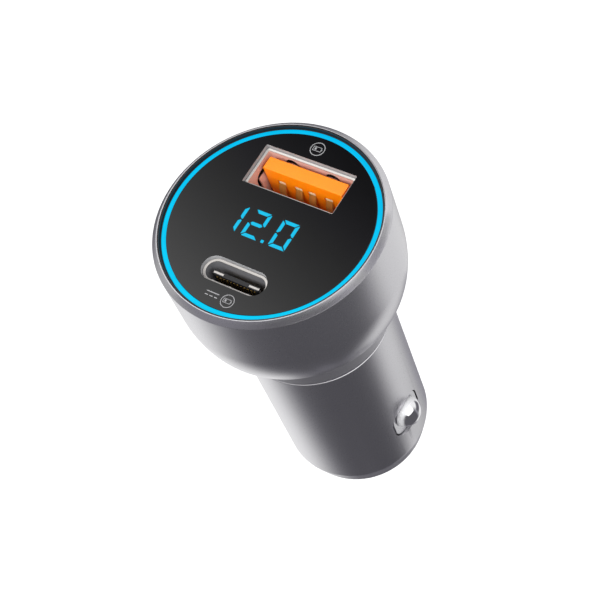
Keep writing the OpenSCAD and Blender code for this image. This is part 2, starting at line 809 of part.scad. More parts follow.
// A spring leaf of the large port, in its window's own frame: the window's front
// edge is at z = 0, the leaf hangs from its far edge, and the port is towards -Y
module spring_leaf(width) {
    tip = window_gap * 1.4;
    rotate([90, 0, 90])
        translate([0, 0, -width / 2])
            linear_extrude(width)
                polygon([
                    [0, -window_l - 0.3], [0, -window_l], [-leaf_bend, -window_l * 0.42],
                    [-leaf_bend, -window_l * 0.3], [0.05 - leaf_bend / 2, -tip],
                    [port_a_wall - leaf_bend / 2, -tip],
                    [port_a_wall - leaf_bend, -window_l * 0.3],
                    [port_a_wall - leaf_bend, -window_l * 0.42],
                    [port_a_wall, -window_l], [port_a_wall, -window_l - 0.3]
                ]);
}

// An arch-topped window cut through a wall, in the same frame as its leaf
module spring_window(width) {
    translate([0, port_a_wall + over, 0])
        rotate([90, 0, 0])
            linear_extrude(port_a_wall + 2 * over) {
                translate([-width / 2, -window_l])
                    square([width, window_l - width / 2]);
                translate([0, -width / 2]) circle(width / 2);
            }
}

// Places a window or leaf on each of the shell's walls: four on the long walls,
// two on the side walls
module on_shell_walls() {
    top_z = face_z - window_depth;
    inner_w = port_a_w / 2 - port_a_wall;
    inner_h = port_a_h / 2 - port_a_wall;
    translate([0, port_a_y, top_z]) {
        for (x = [-1, 1], turn = [0, 180])
            rotate([0, 0, turn])
                translate([x * window_x, inner_h, 0]) children(0);
        for (turn = [90, 270])
            rotate([0, 0, turn])
                translate([0, inner_w, -0.6]) children(1);
    }
}

// Folded steel shell of the large port, with its round corners and six spring leaves
module port_a_shell() {
    color("lightgray") {
        difference() {
            translate([0, port_a_y, round_board_z])
                linear_extrude(port_a_mouth_z - round_board_z)
                    round_rect(port_a_w, port_a_h, port_a_fold_r);
            translate([0, port_a_y, round_board_z - over])
                linear_extrude(port_a_mouth_z - round_board_z + 2 * over)
                    round_rect(port_a_w - 2 * port_a_wall, port_a_h - 2 * port_a_wall, fold_in_r);
            on_shell_walls() {
                spring_window(window_w);
                spring_window(side_window_w);
            }
        }
        on_shell_walls() {
            spring_leaf(window_w - 2 * window_gap);
            spring_leaf(side_window_w - 2 * window_gap);
        }
    }
}

// Orange moulding of the large port: block in the shell's foot and the tongue
module port_a_tongue() {
    base_w = port_a_w - 2 * (port_a_wall + fit_gap);
    base_h = port_a_h - 2 * (port_a_wall + fit_gap);
    edge = 0.08;
    color("orange")
    difference() {
        union() {
            translate([0, port_a_y, round_board_z])
                linear_extrude(tongue_base_h) round_rect(base_w, base_h, fold_in_r - fit_gap);
            along_x(-tongue_w / 2, tongue_w / 2)
                polygon([
                    [tongue_front_y, tongue_base_z - 0.5], [tongue_back_y, tongue_base_z - 0.5],
                    [tongue_back_y, tongue_end_z - edge], [tongue_back_y - edge, tongue_end_z],
                    [tongue_front_y + edge, tongue_end_z], [tongue_front_y, tongue_end_z - edge]
                ]);
        }
        for (x = contact_xs)
            translate([x - contact_w / 2 - slip_gap, tongue_front_y - 0.05, round_board_z - over])
                cube([contact_w + 2 * slip_gap, contact_slot_t + 0.05,
                      contact_tip_z + contact_t - round_board_z + over]);
    }
}

// Four gilt contact leaves, bowed out of their slots in the tongue
module port_a_contacts() {
    back = tongue_front_y + contact_slot_t - 0.02;
    tip_z = contact_tip_z;
    root_z = contact_root_z;
    crest_z = (tip_z + root_z) / 2;
    bend_z = (tip_z - root_z) / 2;
    bow = contact_bow + contact_slot_t;
    color("gold")
    for (x = contact_xs)
        along_x(x - contact_w / 2, x + contact_w / 2)
            polygon([
                [back, round_board_z], [back, root_z], [back - bow * 0.6, crest_z - bend_z * 0.39],
                [back - bow + contact_t, crest_z], [back - bow * 0.6, crest_z + bend_z * 0.52],
                [back, tip_z - contact_t * 1.4], [back, tip_z], [back - contact_t, tip_z],
                [back - contact_t - bow * 0.6, crest_z + bend_z * 0.52], [back - bow, crest_z],
                [back - contact_t - bow * 0.6, crest_z - bend_z * 0.39],
                [back - contact_t, root_z], [back - contact_t, round_board_z]
            ]);
}

// Seamless steel shell of the small port, with three dimples inside its front wall
module port_c_shell() {
    color("lightgray")
    translate([0, -port_c_y, port_c_foot_z]) {
        difference() {
            linear_extrude(port_c_l) obround(port_c_w, port_c_h);
            translate([0, 0, -over])
                linear_extrude(port_c_l + 2 * over)
                    obround(port_c_w - 2 * port_c_wall, port_c_h - 2 * port_c_wall);
        }
        for (x = [-1, 0, 1] * port_c_w * 0.29)
            translate([x, -port_c_h / 2 + port_c_wall - 0.12, port_c_l - 0.35])
                intersection() {
                    sphere(0.28);
                    translate([-0.5, 0, -0.5]) cube([1, 1, 1]);
                }
    }
}

// Black moulding of the small port: plug in the shell's foot and the thin tongue
module port_c_tongue() {
    plug_w = port_c_w - 2 * (port_c_wall + fit_gap);
    plug_h = port_c_h - 2 * (port_c_wall + fit_gap);
    color("dimgray")
    difference() {
        translate([0, -port_c_y, 0]) {
            translate([0, 0, port_c_foot_z])
                linear_extrude(blade_base_z - port_c_foot_z) obround(plug_w, plug_h);
            translate([-blade_w / 2, -blade_t / 2, port_c_foot_z])
                cube([blade_w, blade_t, blade_end_z - port_c_foot_z]);
        }
        for (side = [-1, 1])
            translate([side * (blade_w - shoulder_w) / 2, -port_c_y, port_c_foot_z])
                translate([-shoulder_w / 2 - over * (1 - side) / 2, -shoulder_t / 2, 1])
                    cube([shoulder_w + over, shoulder_t, blade_end_z - port_c_foot_z]);
    }
}

// Steel plate in the tongue: its two shoulders show at the tongue's end
module port_c_plate() {
    color("white")
    for (side = [-1, 1])
        translate([side * (blade_w - shoulder_w) / 2, -port_c_y, port_c_foot_z + 1])
            translate([-shoulder_w / 2, -shoulder_t / 2, 0])
                cube([shoulder_w, shoulder_t, blade_end_z - port_c_foot_z - 1]);
}

// Gilt contacts on both sides of the tongue
module port_c_contacts() {
    color("gold")
    for (side = [-1, 1], i = [0 : pad_count - 1])
        translate([(i - (pad_count - 1) / 2) * pad_pitch - pad_w / 2,
                   -port_c_y + side * (blade_t + pad_t) / 2 - pad_t / 2,
                   blade_end_z - pad_back - pad_l])
            cube([pad_w, pad_t, pad_l]);
}

// Moulded foot that stands the small port on the round board
module port_c_base() {
    base_w = port_c_w + 1.4;
    base_h = port_c_h + 1.6;
    color("dimgray")
    translate([0, -port_c_y, round_board_z])
        difference() {
            translate([-base_w / 2, -base_h / 2, 0])
                cube([base_w, base_h, port_c_foot_z + base_pocket_h - round_board_z]);
            translate([0, 0, port_c_foot_z - round_board_z])
                linear_extrude(base_pocket_h + over)
                    obround(port_c_w + 2 * fit_gap, port_c_h + 2 * fit_gap);
        }
}

// Board that stands in the barrel, from the round board down into the carrier
module power_board() {
    color("seagreen")
    translate([-power_board_t / 2, -power_board_w / 2, power_board_z])
        cube([power_board_t, power_board_w, head_floor - power_board_z]);
}

// Places something on a face of the power board: side 1 is the right face
module on_power_board(side, z) {
    rotate([0, 0, side > 0 ? 0 : 180])
        translate([power_board_t / 2, 0, z]) children();
}

// Shielded coil: square ferrite body with cut corners and a round top
module power_coil() {
    cut = 1.2;
    half = coil_side / 2;
    color("dimgray")
    on_power_board(1, seam_z - coil_depth) {
        along_x(0, coil_h - 0.5)
            polygon([
                [-half + cut, -half], [half - cut, -half], [half, -half + cut], [half, half - cut],
                [half - cut, half], [-half + cut, half], [-half, half - cut], [-half, -half + cut]
            ]);
        rotate([0, 90, 0]) cylinder(h = coil_h, r = half - 0.5);
    }
}

// A capacitor can lying on the board, with its end crimp, on a flat foot
module can(length) {
    foot = can_r * 0.45;
    crimp = can_r * 0.08;
    translate([can_r, 0, -length / 2]) {
        rotate_extrude()
            polygon([
                [0, 0], [can_r, 0], [can_r, 3 * crimp], [can_r - crimp, 4 * crimp],
                [can_r, 5 * crimp], [can_r, length - crimp], [can_r - crimp, length], [0, length]
            ]);
        translate([-can_r, -foot, crimp]) cube([can_r, 2 * foot, 2 * crimp]);
    }
}
module input_capacitor() {
    color("slategray") on_power_board(-1, seam_z - long_can_depth) can(long_can_l);
}
module output_capacitor() {
    color("gainsboro") on_power_board(-1, seam_z - short_can_depth) can(short_can_l);
}

// Control chips on both faces of the power board
module control_chips() {
    color("dimgray") {
        on_power_board(1, seam_z + chip_up)
            translate([0, -chip_l / 2, -chip_w / 2]) cube([chip_t, chip_l, chip_w]);
        on_power_board(1, seam_z - fuse_depth)
            translate([0, chip_t / 2, -0.75 * chip_w / 2])
                cube([chip_t, 0.8 * chip_l, 0.75 * chip_w]);
    }
}

// Small ceramic capacitors in a row beside the chips
module small_capacitors() {
    color("tan")
    for (i = [0 : 3])
        on_power_board(1, seam_z - row_depth)
            translate([0, (i - 1.5) * small_cap_pitch - small_cap_l / 2, -small_cap_w / 2])
                cube([small_cap_w, small_cap_l, small_cap_w]);
}

// Fuse on the power board, in the tip's supply line
module board_fuse() {
    color("wheat")
    on_power_board(1, seam_z - fuse_depth)
        translate([0, -fuse_l - 0.4, -fuse_w / 2]) cube([fuse_t, fuse_l, fuse_w]);
}

head_shell();
barrel_shell();
nose_cap();
tip_pin();
tip_spring();
tip_terminal();
side_contact_right();
side_contact_left();
side_spring_right();
side_spring_left();
ground_pads();
contact_carrier();
face_frame();
light_ring();
face_panel();
display_segments();
display_housing();
display_board();
ring_board();
ring_lamps();
header_pins();
round_board();
port_a_shell();
port_a_tongue();
port_a_contacts();
port_c_shell();
port_c_tongue();
port_c_contacts();
port_c_plate();
port_c_base();
power_board();
power_coil();
input_capacitor();
output_capacitor();
control_chips();
small_capacitors();
board_fuse();
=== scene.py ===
from math import asin, cos, degrees, hypot, pi, radians, sin, sqrt, tan

import bmesh
import bpy
from mathutils import Matrix, Vector


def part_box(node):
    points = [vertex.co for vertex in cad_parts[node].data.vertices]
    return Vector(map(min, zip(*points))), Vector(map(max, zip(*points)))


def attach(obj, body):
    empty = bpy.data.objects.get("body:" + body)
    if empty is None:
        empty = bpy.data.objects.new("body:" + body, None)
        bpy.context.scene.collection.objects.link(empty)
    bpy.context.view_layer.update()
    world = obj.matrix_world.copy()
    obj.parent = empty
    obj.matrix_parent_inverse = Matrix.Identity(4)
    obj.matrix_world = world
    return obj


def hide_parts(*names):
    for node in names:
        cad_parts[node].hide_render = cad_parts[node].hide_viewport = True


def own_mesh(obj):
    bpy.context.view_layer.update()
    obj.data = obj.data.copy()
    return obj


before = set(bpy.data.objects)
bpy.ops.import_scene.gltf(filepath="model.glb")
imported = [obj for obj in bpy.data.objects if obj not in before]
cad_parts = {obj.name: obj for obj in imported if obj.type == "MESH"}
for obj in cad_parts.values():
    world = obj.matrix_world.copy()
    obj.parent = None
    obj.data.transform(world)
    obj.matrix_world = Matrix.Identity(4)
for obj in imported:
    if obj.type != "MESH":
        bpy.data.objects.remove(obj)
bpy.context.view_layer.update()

# Camera
# A short telephoto looking down on the face from the front right, at the photo's own angle.
# Its place is in millimetres in the part's frame, as all lengths in this file are.
MM = 0.001
EYE = Vector((87.998, -68.220, 160.488))
EYE_RIGHT = Vector((0.82636, 0.51004, -0.23870))
EYE_UP = Vector((-0.33780, 0.78812, 0.51455))
scene = bpy.context.scene


def placed(name, data):
    """A new object of that data, in the scene."""
    made = bpy.data.objects.new(name, data)
    scene.collection.objects.link(made)
    return made


camera = placed("camera", bpy.data.cameras.new("camera"))
camera.data.lens = 90.46
camera.data.sensor_width = 36
camera.data.clip_start = 0.01
camera.data.clip_end = 20
turned = Matrix((EYE_RIGHT, EYE_UP, EYE_RIGHT.cross(EYE_UP))).transposed().to_4x4()
camera.matrix_world = Matrix.Translation(EYE * MM) @ turned
scene.camera = camera
scene.view_settings.view_transform = "Standard"

# Studio
# A pale floor well below the plug, white to the camera and in reflections, that still takes
# the plug's shadow. Round the plug hangs a tent of white paper and dark felt that shows only
# in glossy surfaces, as in a product studio.
FLOOR_Z, FLOOR_HALF, MOTTLE = -230.0, 6000.0, 30.0
WHITE, COLOUR = "#FFFFFF", {"data_type": "RGBA"}


def linear(code):
    """An sRGB hex colour as linear red, green, blue and alpha."""
    parts = [int(code[i:i + 2], 16) / 255 for i in (1, 3, 5)]
    return [c / 12.92 if c <= 0.04045 else ((c + 0.055) / 1.055) ** 2.4 for c in parts] + [1.0]


def add(tree, kind, settings=None, **inputs):
    """Adds a shader node with its settings; an input takes a value, a node or its socket."""
    made = tree.nodes.new("ShaderNode" + kind)
    for name, value in (settings or {}).items():
        setattr(made, name, value)
    for name, value in inputs.items():
        socket = made.inputs[int(name[1:]) if name[1:].isdigit() else name.replace("_", " ")]
        if isinstance(value, bpy.types.Node):
            value = value.outputs[0]
        if isinstance(value, bpy.types.NodeSocket):
            tree.links.new(value, socket)
        else:
            socket.default_value = value
    return made


def new_material(name):
    """A new material, its node tree, its surface socket and its place in the part's frame."""
    made = bpy.data.materials.new(name)
    made.use_nodes = True
    tree = made.node_tree
    tree.nodes.clear()
    surface_in = add(tree, "OutputMaterial").inputs["Surface"]
    return made, tree, surface_in, add(tree, "TexCoord").outputs["Object"]


def flat_mesh(name, corners, faces):
    """A mesh object from corners in millimetres and faces."""
    mesh = bpy.data.meshes.new(name)
    mesh.from_pydata([Vector(c) * MM for c in corners], [], faces)
    mesh.update()
    return placed(name, mesh)


def seen_rays(tree):
    """1 for camera, glossy and transmission rays, 0 for light that falls on the plug."""
    path = add(tree, "LightPath")
    two = add(tree, "Math", {"operation": "MAXIMUM"},
              _0=path.outputs["Is Camera Ray"], _1=path.outputs["Is Glossy Ray"])
    return add(tree, "Math", {"operation": "MAXIMUM"},
               _0=two, _1=path.outputs["Is Transmission Ray"])


# Matt paper with a faint mottle of 30 mm, laid over the floor's whole width. Its lift to white
# grows with the distance, so that the shadow under the plug stays.
floor_paper, tree, out, place = new_material("matt_white_studio_paper")
fibre = add(tree, "TexNoise", Scale=2 * FLOOR_HALF / MOTTLE, Detail=3.0)
tint = add(tree, "Mix", COLOUR, _0=fibre,
           _6=linear("#E6E6E6"), _7=linear("#EAEAEA"))
paper = add(tree, "BsdfDiffuse", Color=tint.outputs[2])
reach = add(tree, "VectorMath", {"operation": "LENGTH"}, _0=place)
far = add(tree, "MapRange", {"interpolation_type": "SMOOTHSTEP"},
          Value=reach.outputs["Value"], _1=150 * MM, _2=600 * MM, _3=0.38, _4=0.66)
lift = add(tree, "Math", {"operation": "MULTIPLY"}, _0=seen_rays(tree), _1=far)
glow = add(tree, "Emission", Color=linear(WHITE), Strength=lift)
both = add(tree, "AddShader", _0=paper, _1=glow)
tree.links.new(both.outputs[0], out)
floor = flat_mesh("floor", [(x * FLOOR_HALF, y * FLOOR_HALF, FLOOR_Z)
                            for x, y in ((-1, -1), (1, -1), (1, 1), (-1, 1))], [(0, 1, 2, 3)])
floor.data.materials.append(floor_paper)

# The room's light: even and pale, white where it is seen directly.
world = bpy.data.worlds.new("studio")
scene.world = world
world.use_nodes = True
tree = world.node_tree
tree.nodes.clear()
even = add(tree, "Background", Color=linear(WHITE), Strength=0.55)
seen = add(tree, "Background", Color=linear(WHITE), Strength=1.0)
room = add(tree, "MixShader", _0=seen_rays(tree), _1=even, _2=seen)
add(tree, "OutputWorld", Surface=room)

# Two soft lamps, one high in front and one low on the right, that light without glare.
for name, at, size, power in (("key_lamp", (-110, -330, 400), 260, 2.6),
                              ("fill_lamp", (380, -120, 260), 240, 0.7)):
    lamp = placed(name, bpy.data.lights.new(name, "AREA"))
    lamp.data.shape = "SQUARE"
    lamp.data.size = size * MM
    lamp.data.energy = power
    lamp.location = Vector(at) * MM
    lamp.rotation_euler = (-Vector(at)).to_track_quat("-Z", "Y").to_euler()
    lamp.visible_glossy = False


def fade(value, low, high):
    """0 below low, 1 above high, and smooth between."""
    t = min(1.0, max(0.0, (value - low) / (high - low)))
    return t * t * (3 - 2 * t)


# Felt and grey paper in the tent: middle and half width in azimuth, how soft its sides are,
# lowest and highest elevation, how soft those are, and the light it gives.
FELTS = ((75, 45, 40, -90, -30, 20, 0.94), (165, 60, 60, -20, 22, 14, 0.62),
         (124, 17, 12, -76, -42, 14, 0.4), (-80, 56, 58, -95, 15, 8, 0.12),
         (-26, 55, 34, -95, 15, 8, 0.108), (52, 26, 14, -36, -6, 6, 0.14),
         (150, 40, 24, -43, -2, 12, 0.16))
TENT_R, TENT_MID, TENT_STEP = 222.0, Vector((0, 0, 4)), 2.0
PAPER_LIGHT, LOW_PAPER_LIGHT, FELT_BELOW = 1.0, 1.15, 0.4
# The tongue in which the felt reaches past the nadir: its way, half width, taper and light.
NADIR_WAY, NADIR_HALF, NADIR_TAPER, NADIR_LIGHT = 142.0, 0.305, 0.3, 0.18
# The upper far side, which the panel mirrors, grades from dark to bright.
MIRRORED, GRADE_WAY, GRADE_HALF = (142.0, 53.0), -100.0, 33.0


def spot(azimuth, elevation, reach):
    """A point at that direction and distance from the middle."""
    a, e = radians(azimuth), radians(elevation)
    return Vector((cos(a) * cos(e), sin(a) * cos(e), sin(e))) * reach


def tent_light(azimuth, elevation):
    """The light that the tent gives from one direction."""
    light = LOW_PAPER_LIGHT if elevation < -30 else PAPER_LIGHT
    for middle, half, soft, low, high, soft_end, level in FELTS:
        off = abs((azimuth - middle + 180) % 360 - 180)
        half -= max(0.0, -52 - elevation) * (low < -90)
        share = fade(-off, -half - soft / 2, -half + soft / 2)
        share *= fade(elevation, low - soft_end, low + soft_end)
        share *= fade(-elevation, -high - soft_end, -high + soft_end)
        light += (level - light) * share
    way = spot(azimuth, elevation, 1)
    along = way.dot(spot(NADIR_WAY, 0, 1))
    across = abs(way.dot(spot(NADIR_WAY - 90, 0, 1)))
    share = fade(NADIR_HALF - NADIR_TAPER * max(0.0, along) - across, 0.0, 0.14)
    share *= (elevation < -40) * fade(along, -0.25, -0.05) * fade(-along, -0.66, -0.54)
    light += (NADIR_LIGHT - light) * share
    here, there = spot(azimuth, elevation, TENT_R), spot(*MIRRORED, TENT_R)
    share = 0.5 + (here - there).dot(spot(GRADE_WAY, 0, 1)) / (2 * GRADE_HALF)
    grade = 0.04 + 1.75 * min(1.1, max(0.0, share)) ** 2
    return light + (grade - light) * fade(-(here - there).length, -95, -60)


# Paper that glows with the light painted on its corners.
glow_paper, tree, out, place = new_material("glowing_white_paper")
tree.nodes.remove(place.node)
paint = add(tree, "Attribute", {"attribute_name": "light"})
shine = add(tree, "Emission", Color=paint.outputs["Color"])
tree.links.new(shine.outputs[0], out)


def card(name, corners, faces, lights):
    """A card that only reflections show, with the light of each corner; felt is bluish."""
    made = flat_mesh(name, corners, faces)
    paint = made.data.color_attributes.new("light", "FLOAT_COLOR", "POINT")
    for i, light in enumerate(lights):
        green, blue = (0.98, 1.1) if light < FELT_BELOW else (1.0, 1.0)
        paint.data[i].color = (light, light * green, light * blue, 1)
    made.data.materials.append(glow_paper)
    for ray in ("camera", "diffuse", "transmission", "volume_scatter", "shadow"):
        setattr(made, "visible_" + ray, False)


def strip_card(name, row, ends, spot_of):
    """A card between two lines: where along them, with which light, and a point of each."""
    count = len(row)
    card(name, [spot_of(along, end) for end in ends for along, light in row],
         [(i, i + 1, i + 1 + count, i + count) for i in range(count - 1)],
         [light for along, light in row] * 2)


across, up = int(360 / TENT_STEP), int(180 / TENT_STEP)
ways = [(i * TENT_STEP - 180, j * TENT_STEP - 90) for j in range(up + 1) for i in range(across)]
card("light_tent", [TENT_MID + spot(a, e, TENT_R) for a, e in ways],
     [(j * across + i, j * across + (i + 1) % across, (j + 1) * across + (i + 1) % across,
       (j + 1) * across + i) for j in range(up) for i in range(across)],
     [tent_light(a, e) for a, e in ways])

# A square lamp box in front of the right contact, which its dome mirrors.
BOX_FROM, BOX_FAR, BOX_LIGHT = Vector((11.5, 0, -24)), 75, 1.5
BOX_CORNERS = ((100, 57), (-103, 54), (-36, 14), (17, 17))
card("dome_box", [BOX_FROM + spot(a, e, BOX_FAR) for a, e in BOX_CORNERS],
     [(0, 1, 2, 3)], [BOX_LIGHT] * 4)

# A grey band in front of the rim keeps that lamp off its chamfer.
BAND_R, BAND_LOW, BAND_HIGH = 24, 18.6, 29
band = [(a, 0.1 + 0.32 * fade(a, -32, -4) - 0.1 * fade(a, 0, 12) + 0.24 * fade(a, 18, 34)
         + 0.22 * fade(-a, 50, 102)) for a in range(-125, 41, 3)]
strip_card("rim_band", band, (BAND_LOW, BAND_HIGH),
           lambda a, z: spot(a, 0, BAND_R) + Vector((0, 0, z)))

# A grey sheet low on the right shades the barrel's right limb and misses the head.
SHEET_Z, SHEET_NEAR, SHEET_FAR = -60, 8, 43
sheet = [(x, 0.24 + 0.06 * fade(x, -20, 0) + 0.6 * fade(x, 2, 26)) for x in range(-40, 29, 4)]
strip_card("barrel_sheet", sheet, (SHEET_NEAR, SHEET_FAR), lambda x, y: (x, y, SHEET_Z))

# Head
# One turned aluminium piece: the head with its rim, its rounded lower edge and the neck.
# It is bead blasted and anodised a pale silver grey, so it is satin with a very fine grain.
RIM_R, HEAD_R, HEAD_H, RIM_CHAMFER = 14.15, 15.0, 17.2, 0.7
ROUND_H, ROUND_W, NECK_R, NECK_END, NECK_CHAMFER = 8.2, 3.53, 10.6, -5.5, 0.2
BORE_R, FLOOR_TOP, HEAD_WALL, LEDGE_Z, EDGE = 9.3, 1.5, 1.3, 14.47, 0.05


def rounded(profile, radius):
    """Rounds each corner of a closed outline by that radius, where its sides are long enough."""
    made, count, steps = [], len(profile), 3
    for i, (x, y) in enumerate(profile):
        here = Vector((x, y))
        back, ahead = Vector(profile[i - 1]) - here, Vector(profile[(i + 1) % count]) - here
        turn = back.angle(ahead)
        cut = radius / tan(turn / 2) if turn > 1e-3 else 0
        short = cut > 0.45 * min(back.length, ahead.length)
        if short or turn > radians(160) or 0 in (x, radius):
            made.append((x, y))
            continue
        a, b = here + back.normalized() * cut, here + ahead.normalized() * cut
        for k in range(steps + 1):
            t = k / steps
            made.append(tuple(a * (1 - t) ** 2 + here * 2 * t * (1 - t) + b * t ** 2))
    return made


def turned_piece(name, profile, segments=256):
    """A closed solid turned about Z from an outline of radius and height; radius 0 is the axis."""
    built = bmesh.new()
    rings = []
    ways = [2 * pi * k / segments for k in range(segments)]
    for r, z in profile:
        if r < 1e-6:
            rings.append([built.verts.new(Vector((0, 0, z)) * MM)] * segments)
        else:
            rings.append([built.verts.new(Vector((r * cos(way), r * sin(way), z)) * MM)
                          for way in ways])
    for i, ring in enumerate(rings):
        above = rings[(i + 1) % len(rings)]
        for k in range(segments):
            n = (k + 1) % segments
            corners = list(dict.fromkeys((ring[k], ring[n], above[n], above[k])))
            if len(corners) > 2:
                built.faces.new(corners).smooth = True
    bmesh.ops.recalc_face_normals(built, faces=built.faces)
    return from_bmesh(name, built)


def mark_creases(mesh, crease=32):
    """Sharpens the edges where a mesh turns by more than crease, and keeps flat faces flat."""
    flats = [face.index for face in mesh.polygons if not face.use_smooth]
    mesh.set_sharp_from_angle(angle=radians(crease))
    for index in flats:
        mesh.polygons[index].use_smooth = False


def from_bmesh(name, built):
    """Makes the object of a built mesh, with its creases sharp."""
    mesh = bpy.data.meshes.new(name)
    built.to_mesh(mesh)
    built.free()
    mark_creases(mesh)
    return placed(name, mesh)


def arc(x, y, w, h, first, last, steps):
    """Points about x, y along an ellipse of half sizes w and h, between angles in degrees."""
    ways = [radians(first + (last - first) * i / steps) for i in range(steps + 1)]
    return [(x + w * cos(way), y + h * sin(way)) for way in ways]


round_edge = arc(HEAD_R - ROUND_W, ROUND_H, ROUND_W, -ROUND_H, 0, 90, 48)
hollow = [(HEAD_R - HEAD_WALL - ROUND_W * (1 - sqrt(1 - (1 - z / ROUND_H) ** 2)), z)
          for z in (FLOOR_TOP + (ROUND_H - FLOOR_TOP) * i / 14 for i in range(15))]
head = turned_piece("head", rounded(
    [(RIM_R, HEAD_H), (HEAD_R - RIM_CHAMFER, HEAD_H), (HEAD_R, HEAD_H - RIM_CHAMFER)]
    + round_edge
    + [(NECK_R, 0), (NECK_R, NECK_END + NECK_CHAMFER), (NECK_R - NECK_CHAMFER, NECK_END),
       (BORE_R, NECK_END), (BORE_R, FLOOR_TOP)]
    + hollow
    + [(HEAD_R - HEAD_WALL, LEDGE_Z), (RIM_R, LEDGE_Z)], EDGE), 384)


def surface(tree, out, pattern, colours=None, gloss=None, relief=None, **sockets):
    """Finishes a material. The pattern runs between two colours and two roughnesses, and lifts
    the relief by its strength and height in millimetres; the other sockets are even."""
    if colours:
        tint = add(tree, "Mix", COLOUR, _0=pattern,
                   _6=linear(colours[0]), _7=linear(colours[1]))
        sockets["Base_Color"] = tint.outputs[2]
    if gloss:
        sockets["Roughness"] = add(tree, "MapRange", Value=pattern,
                                   _3=gloss[0], _4=gloss[1])
    if relief:
        sockets["Normal"] = add(tree, "Bump", Strength=relief[0],
                                Distance=relief[1] * MM, Height=pattern)
    shader = add(tree, "BsdfPrincipled", **sockets)
    tree.links.new(shader.outputs[0], out)


# Bead-blasted anodised aluminium: a soft, even sheen from glass beads of about 0.1 mm. The
# grain is drawn at 0.14 mm, coarser than the real one, so that it just shows, and the oxide
# clouds faintly every 9 mm.
BEADS, CLOUDS = 0.14, 9.0
satin_aluminium, tree, out, place = new_material("bead_blasted_anodised_aluminium")
grain = add(tree, "TexNoise", Vector=place, Scale=1000 / BEADS, Detail=2.0,
            Roughness=0.6)
cloud = add(tree, "TexNoise", Vector=place, Scale=1000 / CLOUDS, Detail=2.0)
oxide = add(tree, "Mix", COLOUR, _0=cloud,
            _6=linear("#CCCBCE"), _7=linear("#C7C6CA"))
surface(tree, out, grain, gloss=(0.26, 0.30), relief=(0.04, 0.02), Metallic=1.0,
        Base_Color=oxide.outputs[2])


def finish_piece(piece, material, slot, *nodes, body="housing"):
    """Gives a piece its material, the body it moves with and the nodes it stands for; its slot is
    not used.
    """
    piece.data.materials.append(material)
    flats = {key for face in piece.data.polygons if not face.use_smooth for key in face.edge_keys}
    for edge in piece.data.edges:
        edge.use_edge_sharp = edge.use_edge_sharp or edge.key in flats
    shading = piece.modifiers.new("flats_stay_flat", "WEIGHTED_NORMAL")
    shading.keep_sharp = True
    shading.weight = 100
    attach(piece, body)
    if nodes:
        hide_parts(*nodes)


def second_finish(piece, material, covers):
    """Gives a piece a second material, on the faces whose middle in millimetres and normal
    covers picks."""
    piece.data.materials.append(material)
    for face in piece.data.polygons:
        face.material_index = int(covers(face.center / MM, face.normal))


finish_piece(head, satin_aluminium, "body_metal", "head_shell")

# The neck was masked when the head was blasted and shows its lathe marks, 0.1 mm apart, which
# spread the light more.
turned_neck, tree, out, place = new_material("turned_anodised_aluminium")
axes = add(tree, "SeparateXYZ", Vector=place)
marks = add(tree, "TexNoise", {"noise_dimensions": "1D"}, W=axes.outputs["Z"],
            Scale=1000 / 0.1, Detail=1.0)
surface(tree, out, marks, ("#CFCED1", "#C7C6CA"), relief=(0.2, 0.02), Metallic=1.0,
        Roughness=0.5)
second_finish(head, turned_neck, lambda at, way: at.z < -EDGE and at.xy.length > NECK_R - 0.5)

# Barrel
# The same metal below the seam, pressed into the neck by a thin spigot, with a milled window
# on each side for the sprung contacts. Its lower end tapers and is rolled in over the nose.
BARREL_R, BARREL_TOP, BARREL_CHAMFER, BARREL_END = 10.5, -5.73, 0.08, -33.6
TAPER_END, TAPER_W, TAPER_L, ROLLED_END, ROLLED_R = -35.8, 0.66, 2.2, -37.15, 9.46
ROLL_START = (9.68, -36.5)
SPIGOT_TOP, SPIGOT_R, SPIGOT_BORE_R, SPIGOT_ROOT = -1.65, 9.26, 8.41, BARREL_TOP - 1.2
WINDOW_Z, WINDOW_W, WINDOW_H, WINDOW_R = -26.05, 6.3, 6.5, 2.4


def round_rect(w, h, r, steps=10):
    """A rectangle with round corners about the origin, counter-clockwise."""
    return [corner
            for sx, sy, first in ((1, 1, 0), (-1, 1, 90), (-1, -1, 180), (1, -1, 270))
            for corner in arc(sx * (w / 2 - r), sy * (h / 2 - r), r, r, first, first + 90, steps)]


def inset(loop, d):
    """Moves a counter-clockwise outline inwards by d; a clockwise hole grows by d."""
    made, count = [], len(loop)
    for i in range(count):
        a, b, c = (Vector(loop[(i + k) % count]) for k in (-1, 0, 1))
        n1 = Vector((-(b - a).y, (b - a).x)).normalized()
        n2 = Vector((-(c - b).y, (c - b).x)).normalized()
        made.append(tuple(b + (n1 + n2) * (d / max(0.3, 1 + n1.dot(n2)))))
    return made


